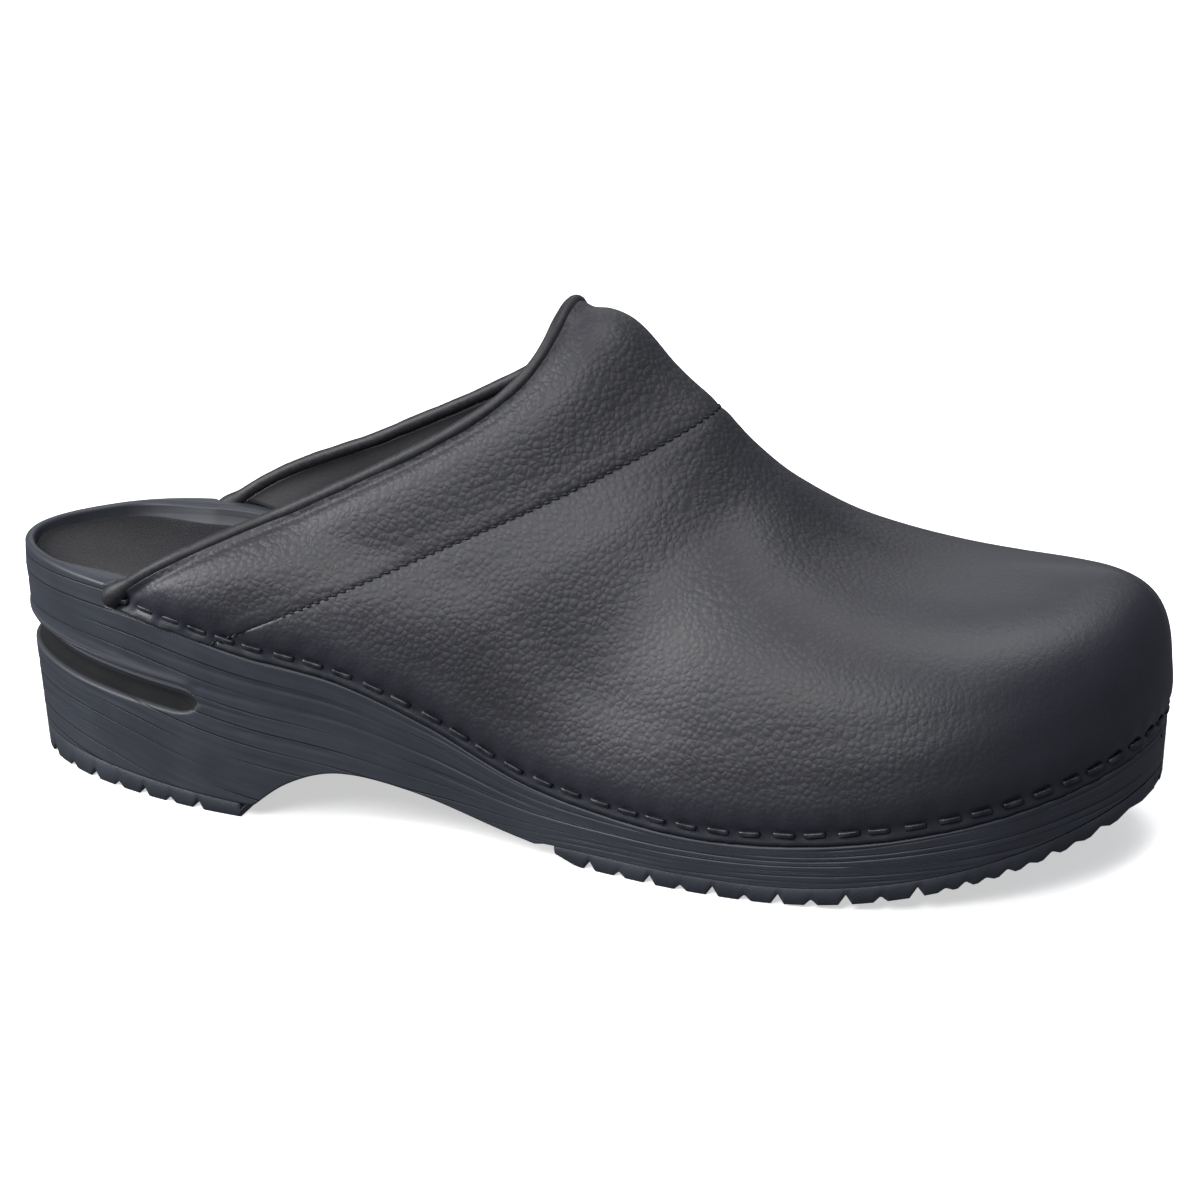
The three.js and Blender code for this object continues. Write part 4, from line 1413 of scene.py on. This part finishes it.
@dataclass
class Upper:
    """Vamp, padded quarter and their linings, with binding, seam stitches and staple puckers."""

    last: Last
    staples: StapleRow
    leather: float = 2.0
    lining: float = 0.8
    stiffener: float = 1.0
    stiffener_end: float = 0.27
    foam: float = 2.6
    foam_end: float = 0.94
    drawn: float = 0.6
    binding_radius: float = 1.65
    seam_gap: float = 0.3 / 90
    stitch_pitch: float = 2.3
    stitch_length: float = 1.7
    stitch_thread: float = 0.38
    margin_hollow: float = 0.45
    margin_swell: float = 0.55
    pucker: float = 0.16
    staple_dent: float = 0.42
    raw_edge: float = 0.2
    collar_crown: float = 1.1
    binding_dip: float = 0.75
    seam_scale: float = 165.0
    topline_scale: float = 75.0
    settle_reach: float = 30.0
    settle_kernel: float = 6.0
    settle_drop: float = 16.0

    def sheet(
        self, ribs: Array, depth: Callable[[float], float], across: int, above_rim: bool = False
    ) -> Array:
        """Grid of one face of a layer: a row for each rib, from the outer foot to the inner."""
        shares = np.linspace(0, 1, across)
        return np.array([self.last.arch_row(rib, depth(rib), above_rim, shares) for rib in ribs])

    def margin_marks(self, points: Array) -> tuple[Array, Array]:
        """Height above the leather's edge and distance along the staple line, for each point.

        Args:
            points: Points, one row each, or a grid of them.

        Returns:
            Height and distance, of the same shape as the grid.
        """
        line = self.staples.margin()
        along = np.r_[0, np.cumsum(np.linalg.norm(np.diff(line, axis=0), axis=1))]
        tree = KDTree(len(line))
        for k, (px, py, _) in enumerate(line):
            tree.insert((px, py, 0), k)
        tree.balance()
        flat = points.reshape(-1, 3)
        nearest = np.array([tree.find((px, py, 0))[1] for px, py, _ in flat])
        height = flat[:, 2] - (line[nearest, 2] - self.staples.rise)
        return height.reshape(points.shape[:2]), along[nearest].reshape(points.shape[:2])

    def shape_face(self, points: Array, ribs: Array, collar: bool) -> tuple[Array, Array]:
        """Adds the leather's own shape to the plain rib surface.

        Args:
            points: Grid of the plain face.
            ribs: Rib value of each row.
            collar: Whether this is the padded quarter.

        Returns:
            The shaped points and the pebble strength of each point.
        """
        height, along = self.margin_marks(points)
        normal = surface_normals(points)
        if (normal[:, normal.shape[1] // 2, 2]).mean() < 0:
            normal = -normal
        if not collar:
            folded = normal[1] + normal[1, ::-1]
            normal[0] = folded / np.maximum(np.linalg.norm(folded, axis=-1, keepdims=True), 1e-9)
        low = smoothstep(height, 30, 0)
        places = self.staples.places()
        phase = along / max(along.max(), 1) * len(places) * 2 * math.pi
        push = -self.margin_hollow * bell(height - self.staples.rise, 1.9)
        push += self.margin_swell * bell(height - 9, 4.5)
        push += self.pucker * np.cos(phase) * bell(height - 5.4, 2.6)
        push += 0.14 * value_noise(along / 9, height / 14, 31) * low
        for place in places:
            at = np.array(place.translation)
            tangent = np.array(place.to_3x3().col[0])
            away = points - at
            run = away @ tangent
            off = np.sqrt(np.maximum(0, (away**2).sum(-1) - run**2))
            push -= self.staple_dent * bell(np.maximum(0, np.abs(run) - 2.1), 0.8) * bell(off, 1.0)
        push += self.raw_edge * value_noise(along / 1.7, height / 3 + 7, 37) * smoothstep(height, 1.6, 0)
        from_seam = np.abs(ribs - self.last.seam)[:, None] * self.seam_scale
        push += -0.12 * bell(from_seam, 0.8) + 0.15 * bell(from_seam - 4, 3)
        if collar:
            from_top = (1 - ribs)[:, None] * self.topline_scale
            push += self.collar_crown * bell(from_top - 9, 6)
            push -= self.binding_dip * bell(from_top - 1.6, 1.3)
        soft = value_noise(points[..., 0] / 22, points[..., 1] / 18 + points[..., 2] / 25, 41)
        push += 0.1 * soft * smoothstep(height, 10, 26)
        if not collar:
            push[0] = (push[0] + push[0, ::-1]) / 2
        shaped = points + normal * push[..., None]
        toe = smoothstep(points[..., 0], self.last.station(0.74), self.last.station(0.93))
        strength = lerp(1.0, 0.18, toe) * smoothstep(height, 2, 18) ** 0.7
        strength = np.maximum(strength, 0.06)
        return shaped, strength

    def settle_toe(self, face: Array) -> Array:
        """Evens out the leather round the point where all the toe's ribs meet.

        Args:
            face: Grid of the vamp's face.

        Returns:
            The grid with heights near that point taken from a local curved fit.
        """
        last = self.last
        pole = np.array([float(last.crest_x(0)), last.crest_shifts[0], float(last.crest_z(0))])
        size = np.linalg.norm(np.cross(np.gradient(face, axis=1), np.gradient(face, axis=0)), axis=-1)
        flat, size = face.reshape(-1, 3), size.ravel()
        away = np.linalg.norm(flat[:, :2] - pole[:2], axis=1)
        on_top = flat[:, 2] > pole[2] - self.settle_drop
        near = np.flatnonzero((away < self.settle_reach) & on_top)
        base = np.flatnonzero((away < 1.6 * self.settle_reach) & on_top)[::16]
        settled = flat.copy()
        for some in np.array_split(near, max(1, len(near) // 300)):
            dx, dy = (flat[base, k][None] - flat[some, k][:, None] for k in (0, 1))
            weight = size[base] * np.exp(-(dx**2 + dy**2) / (2 * self.settle_kernel**2))
            terms = np.stack([np.ones_like(dx), dx, dy, dx * dx, dx * dy, dy * dy], -1)
            weighted = (terms * weight[..., None]).transpose(0, 2, 1)
            fit = np.linalg.solve(weighted @ terms, weighted @ flat[base, 2][:, None])[:, 0, 0]
            share = smoothstep(away[some], self.settle_reach, 0.55 * self.settle_reach)
            settled[some, 2] = lerp(flat[some, 2], fit, share)
        return settled.reshape(face.shape)

    def outer_layer(self, ribs: Array, across: int, collar: bool) -> tuple[Array, Array]:
        """Closed leather layer: a shaped face, plain edges and a coarse hidden back.

        Args:
            ribs: Rib value of each row.
            across: Points on each side of the crest.
            collar: Whether this is the padded quarter.

        Returns:
            The closed grid and its pebble strength.
        """
        face = self.sheet(ribs, lambda _: 0.0, across)
        face, strength = self.shape_face(face, ribs, collar)
        if not collar:
            face = self.settle_toe(face)
        back = self.sheet(ribs, lambda _: self.leather, across)
        grid = closed_band(face, back, (0, -1) if collar else (-1,))
        marks = np.full(grid.shape[:2], 0.1)
        first = 1 if collar else 0
        marks[first : first + len(ribs), : face.shape[1]] = strength
        return grid, marks

    def build(self, shop: Workshop, finishes: dict[str, Finish]) -> None:
        """Makes every piece of the upper.

        Args:
            shop: Makes and dresses the meshes.
            finishes: Finishes by name.
        """
        seam, gap = self.last.seam, self.seam_gap
        vamp_ribs = np.linspace(0, seam - gap * 0.08, 210)
        grid, marks = self.outer_layer(vamp_ribs, 112, False)
        self.close(shop, "vamp_leather", grid, marks, finishes["leather"], "vamp")
        collar_ribs = np.linspace(seam + gap * 0.08, 1, 110)
        grid, marks = self.outer_layer(collar_ribs, 200, True)
        self.close(shop, "quarter_leather", grid, marks, finishes["leather"], "quarter")

        inside = self.leather + GAP
        puff = (inside, inside + self.stiffener)
        ribs = np.linspace(0, self.stiffener_end, 40)
        self.layer(shop, "toe_stiffener", ribs, puff, finishes["foam"], "toe_puff")
        start = puff[1] + GAP
        ribs = np.linspace(0, seam, 100)
        layer = (start, start + self.lining)
        self.layer(shop, "vamp_lining_leather", ribs, layer, finishes["lining"], "vamp_lining")
        self.collar(shop, finishes)
        self.binding(shop, finishes["binding"])
        self.stitches(shop, finishes["thread"])

    def close(
        self, shop: Workshop, name: str, grid: Array, marks: Array, finish: Finish, stands_for: str
    ) -> None:
        """Shuts the open ends of a closed band with a folded row and dresses it.

        Args:
            shop: Makes and dresses the meshes.
            name: Name of the piece.
            grid: Rows by columns by xyz.
            marks: Pebble strength of each point.
            finish: The piece's finish.
            stands_for: Solids that the piece takes the place of.
        """
        piece = shop.wrap(name, grid, marks={"grain": marks})
        self.cap(piece)
        self.relax(piece)
        shop.dress(piece, finish, [stands_for])

    def relax(self, piece: bpy.types.Object, reach: float = 22.0) -> None:
        """Smooths the leather round the point where all the toe's ribs end.

        Args:
            piece: The piece.
            reach: Radius of the part that is smoothed.
        """
        x, y, z = float(self.last.crest_x(0)), self.last.crest_shifts[0], float(self.last.crest_z(0))
        centre = Vector((x, y, z)) * MM + self.last.offset
        bm = bmesh.new()
        bm.from_mesh(piece.data)
        near = [v for v in bm.verts if (v.co - centre).length < reach * MM]
        every_axis = {"use_axis_x": True, "use_axis_y": True, "use_axis_z": True}
        for _ in range(40):
            bmesh.ops.smooth_vert(bm, verts=near, factor=0.5, **every_axis)
        bm.to_mesh(piece.data)
        bm.free()

    @staticmethod
    def cap(piece: bpy.types.Object) -> None:
        """Fills the open rims of a layer and turns its faces outward.

        Args:
            piece: The piece.
        """
        bm = bmesh.new()
        bm.from_mesh(piece.data)
        rims = [edge for edge in bm.edges if edge.is_boundary]
        bmesh.ops.holes_fill(bm, edges=rims, sides=0)
        bmesh.ops.recalc_face_normals(bm, faces=bm.faces)
        bm.to_mesh(piece.data)
        bm.free()

    def layer(
        self,
        shop: Workshop,
        name: str,
        ribs: Array,
        depths: tuple[float, float],
        finish: Finish,
        stands_for: str,
    ) -> bpy.types.Object:
        """Plain inner layer between two depths, standing above the sole's rim.

        Args:
            shop: Makes and dresses the meshes.
            name: Name of the piece.
            ribs: Rib value of each row.
            depths: Depths of the layer's two faces.
            finish: The piece's finish.
            stands_for: Solids that the piece takes the place of.

        Returns:
            The dressed piece.
        """
        face = self.sheet(ribs, lambda _: depths[0], 50, True)
        back = self.sheet(ribs, lambda _: depths[1], 50, True)
        piece = shop.wrap(name, closed_band(face, back))
        return shop.dress(piece, finish, [stands_for])

    def collar(self, shop: Workshop, finishes: dict[str, Finish]) -> None:
        """Foam and lining of the quarter, drawn together toward the binding.

        Args:
            shop: Makes and dresses the meshes.
            finishes: Finishes by name.
        """
        start = self.leather + GAP

        def under_lining(rib: float) -> float:
            """Depth of the lining's hidden side, drawn up to the leather at the topline."""
            return start + GAP + self.foam - (self.foam + self.drawn) * float(smoothstep(rib, 0.9, 1.0))

        ribs = np.linspace(self.last.seam, self.foam_end, 60)
        face = self.sheet(ribs, lambda _: start, 70, True)
        back = self.sheet(ribs, lambda rib: under_lining(rib) - GAP, 70, True)
        foam = shop.wrap("collar_foam", closed_band(face, back))
        shop.dress(foam, finishes["foam"], ["collar_padding"])
        ribs = np.linspace(self.last.seam, 1.0, 90)
        face = self.sheet(ribs, under_lining, 110, True)
        back = self.sheet(ribs, lambda rib: under_lining(rib) + self.lining, 110, True)
        lining = shop.wrap("collar_lining_leather", closed_band(face, back))
        shop.dress(lining, finishes["lining"], ["collar_lining"])

    def binding(self, shop: Workshop, finish: Finish) -> None:
        """Rolled binding along the topline, with a folded stub at each back end.

        Args:
            shop: Makes and dresses the meshes.
            finish: The piece's finish.
        """
        shares = np.linspace(0, 1, 150)
        edge = self.last.arch_row(1.0, self.leather / 2, False, shares)
        behind = self.last.arch_row(0.97, self.leather / 2, False, shares)
        along = np.gradient(edge, axis=0)
        along /= np.linalg.norm(along, axis=1, keepdims=True)
        across = edge - behind
        across -= (across * along).sum(1, keepdims=True) * along
        across /= np.linalg.norm(across, axis=1, keepdims=True)
        facing = np.cross(along, across)
        centre = edge + across * (self.binding_radius * 0.75)
        s = np.linspace(0, 1, len(edge))
        swell = 1 + 0.06 * value_noise(s * 60, s * 0, 51)
        radius = self.binding_radius * swell
        end = np.minimum(s, 1 - s)
        stub = smoothstep(end, 0.034, 0.014)
        radius = radius * (1 + 0.6 * stub) * np.sqrt(np.clip(end / 0.006, 0.02, 1))
        centre = centre + facing * np.sign(facing[:, 1] * edge[:, 1])[:, None] * stub[:, None] * 0.5
        turn = np.linspace(0, 2 * math.pi, 17)
        ring = np.cos(turn)[None, :, None] * across[:, None] + np.sin(turn)[None, :, None] * facing[:, None]
        grid = centre[:, None] + ring * radius[:, None, None]
        shut = np.repeat(centre[[0, -1], None], grid.shape[1], axis=1)
        grid = np.concatenate([shut[:1], grid, shut[1:]])
        piece = shop.wrap("topline_binding", grid)
        shop.dress(piece, finish, ["topline_piping"])

    def stitches(self, shop: Workshop, finish: Finish) -> None:
        """Single row of stitches along the seam between vamp and quarter.

        Args:
            shop: Makes and dresses the meshes.
            finish: The piece's finish.
        """
        shares = np.linspace(0, 1, 300)
        rib = self.last.seam - 0.0008
        line = self.last.arch_row(rib, 0.0, False, shares)
        ahead = self.last.arch_row(rib - 0.01, 0.0, False, shares)
        length = float(np.linalg.norm(np.diff(line, axis=0), axis=1).sum())
        count = int(length // self.stitch_pitch)
        bm = bmesh.new()
        rng = np.random.default_rng(4)
        for k in range(count):
            shares_here = (k + 0.5 + np.array([-0.3, 0, 0.3])) / count
            a, at, b = resample(line, shares_here)
            side = resample(ahead, shares_here)[1] - at
            tangent = Vector(b - a).normalized()
            normal = tangent.cross(Vector(side)).normalized()
            if normal.z < 0:
                normal = -normal
            third = tangent.cross(normal)
            basis = Matrix((tangent, third, normal)).transposed().to_4x4()
            slant = Matrix.Rotation(0.32 + rng.uniform(-0.08, 0.08), 4, "Z")
            size = Matrix.Diagonal((self.stitch_length / 2, self.stitch_thread, self.stitch_thread, 1))
            at = Vector(at) - normal * 0.02
            placed = Matrix.Translation(at) @ basis @ slant @ size
            scale = Matrix.Translation(self.last.offset) @ Matrix.Diagonal((MM, MM, MM, 1))
            bmesh.ops.create_uvsphere(bm, u_segments=8, v_segments=6, radius=1, matrix=scale @ placed)
        piece = shop.finish("seam_stitches", bm)
        shop.dress(piece, finish)


@dataclass(frozen=True)
class Softbox:
    """A soft rectangular light, in metres and watts."""

    name: str
    place: tuple[float, float, float]
    size: tuple[float, float]
    watts: float


@dataclass
class Studio:
    """Camera, paper sweep and soft lights."""

    softboxes: tuple[Softbox, ...] = (
        Softbox("front_softbox", (-0.1, -1.45, 1.25), (0.75, 0.75), 23),
        Softbox("left_softbox", (-1.45, -0.6, 0.9), (0.8, 0.8), 34),
        Softbox("overhead_softbox", (0.25, 0.25, 1.5), (1.0, 0.7), 11),
        Softbox("rear_softbox", (-0.4, 1.4, 0.8), (1.2, 0.6), 2.5),
    )
    target: tuple[float, float, float] = (-5.14, 2.64, 55.0)
    yaw_deg: float = 18.69
    pitch_deg: float = 18.65
    distance: float = 1250.0
    aim: tuple[float, float] = (9.94, -5.87)
    lens: float = 155.8

    def axes(self) -> tuple[Vector, Vector, Vector]:
        """Directions toward the camera, to its right and up.

        Returns:
            Three unit vectors.
        """
        a, e = math.radians(self.yaw_deg), math.radians(self.pitch_deg)
        back = Vector((math.sin(a) * math.cos(e), -math.cos(a) * math.cos(e), math.sin(e)))
        right = Vector((math.cos(a), math.sin(a), 0))
        return back, right, back.cross(right)

    def camera(self) -> None:
        """Places the camera."""
        back, right, up = self.axes()
        data = bpy.data.cameras.new("camera")
        data.lens, data.sensor_width = self.lens, 36
        data.clip_start, data.clip_end = 0.05, 50
        camera = bpy.data.objects.new("camera", data)
        bpy.context.scene.collection.objects.link(camera)
        centre = Vector(self.target) + right * self.aim[0] + up * self.aim[1]
        camera.location = (Vector(self.target) + back * self.distance) * MM
        direction = camera.location - centre * MM
        camera.rotation_euler = direction.to_track_quat("Z", "Y").to_euler()
        bpy.context.scene.camera = camera

    def floor(self, finish: Finish) -> None:
        """White floor that runs far past the view.

        Args:
            finish: The piece's finish.
        """
        bm = bmesh.new()
        bmesh.ops.create_grid(bm, x_segments=1, y_segments=1, size=6)
        mesh = bpy.data.meshes.new("studio_floor")
        bm.to_mesh(mesh)
        bm.free()
        floor = bpy.data.objects.new("studio_floor", mesh)
        bpy.context.scene.collection.objects.link(floor)
        mesh.materials.append(finish.material)
        floor.visible_diffuse = floor.visible_glossy = False

    def light(self, box: Softbox) -> None:
        """Makes a soft rectangular light aimed at the shoe.

        Args:
            box: The light's name, place, size and power.
        """
        data = bpy.data.lights.new(box.name, "AREA")
        data.shape, data.energy = "RECTANGLE", box.watts
        data.size, data.size_y = box.size
        light = bpy.data.objects.new(box.name, data)
        bpy.context.scene.collection.objects.link(light)
        light.location = box.place
        aim = Vector(box.place) - Vector((0, 0, 0.05))
        light.rotation_euler = aim.to_track_quat("Z", "Y").to_euler()

    def build(self, finish: Finish) -> None:
        """Sets up the whole studio.

        Args:
            finish: The piece's finish.
        """
        self.camera()
        self.floor(finish)
        for box in self.softboxes:
            self.light(box)
        world = bpy.data.worlds.new("studio")
        world.use_nodes = True
        background = world.node_tree.nodes["Background"]
        background.inputs["Color"].default_value = linear("e6edff")
        background.inputs["Strength"].default_value = 0.17
        bpy.context.scene.world = world
        bpy.context.scene.view_settings.view_transform = "Standard"


# ---- the shoe --------------------------------------------------------------------------------


def corners(box: tuple[Vector, Vector]) -> list[list[float]]:
    """The two corners of a box as plain lists."""
    return [list(box[0]), list(box[1])]


def main() -> None:
    """Builds the shoe's sub-assemblies in order, then the studio."""
    logging.basicConfig(level=logging.INFO, format="%(message)s")
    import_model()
    last = Last()
    low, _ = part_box("sole_block")
    last.offset = Vector((low.x - last.ring[:, 0].min() * MM, low.y - last.ring[:, 1].min() * MM, 0))
    shop = Workshop(last)
    finishes = {
        "leather": PebbledLeather(),
        "binding": BindingLeather(),
        "lining": LiningLeather(),
        "foam": CellFoam(),
        "thread": WaxedThread(),
    }
    sole = SoleBlock(last)
    sole.build(shop, CarvedSole())
    rubber = TreadRubber()
    back, front = float(last.station(0)), float(last.station(sole.heel_front))
    heel = TreadPad("heel_tread_rubber", sole, back + 4.6, front + 0.6, back + 8, front - 8, "heel_tread")
    start, toe = float(last.station(sole.tread_start)), float(last.station(1))
    forefoot = TreadPad(
        "forefoot_tread_rubber", sole, start + 0.6, toe - 1.6, start + 8, toe - 8, "forefoot_tread",
        run_in=2.6, toe_from=float(last.station(0.86)), toe_pitch=4.2,
    )
    for pad in (heel, forefoot):
        pad.build(shop, rubber)
    Footbed(last).build(shop, Suede(), finishes["foam"])
    staples = StapleRow(last)
    staples.build(shop, StapleWire())
    Upper(last, staples).build(shop, finishes)
    Studio().build(StudioFloor())
    LOG.info("%d pieces", len(shop.pieces))


if __name__ == "__main__":
    main()
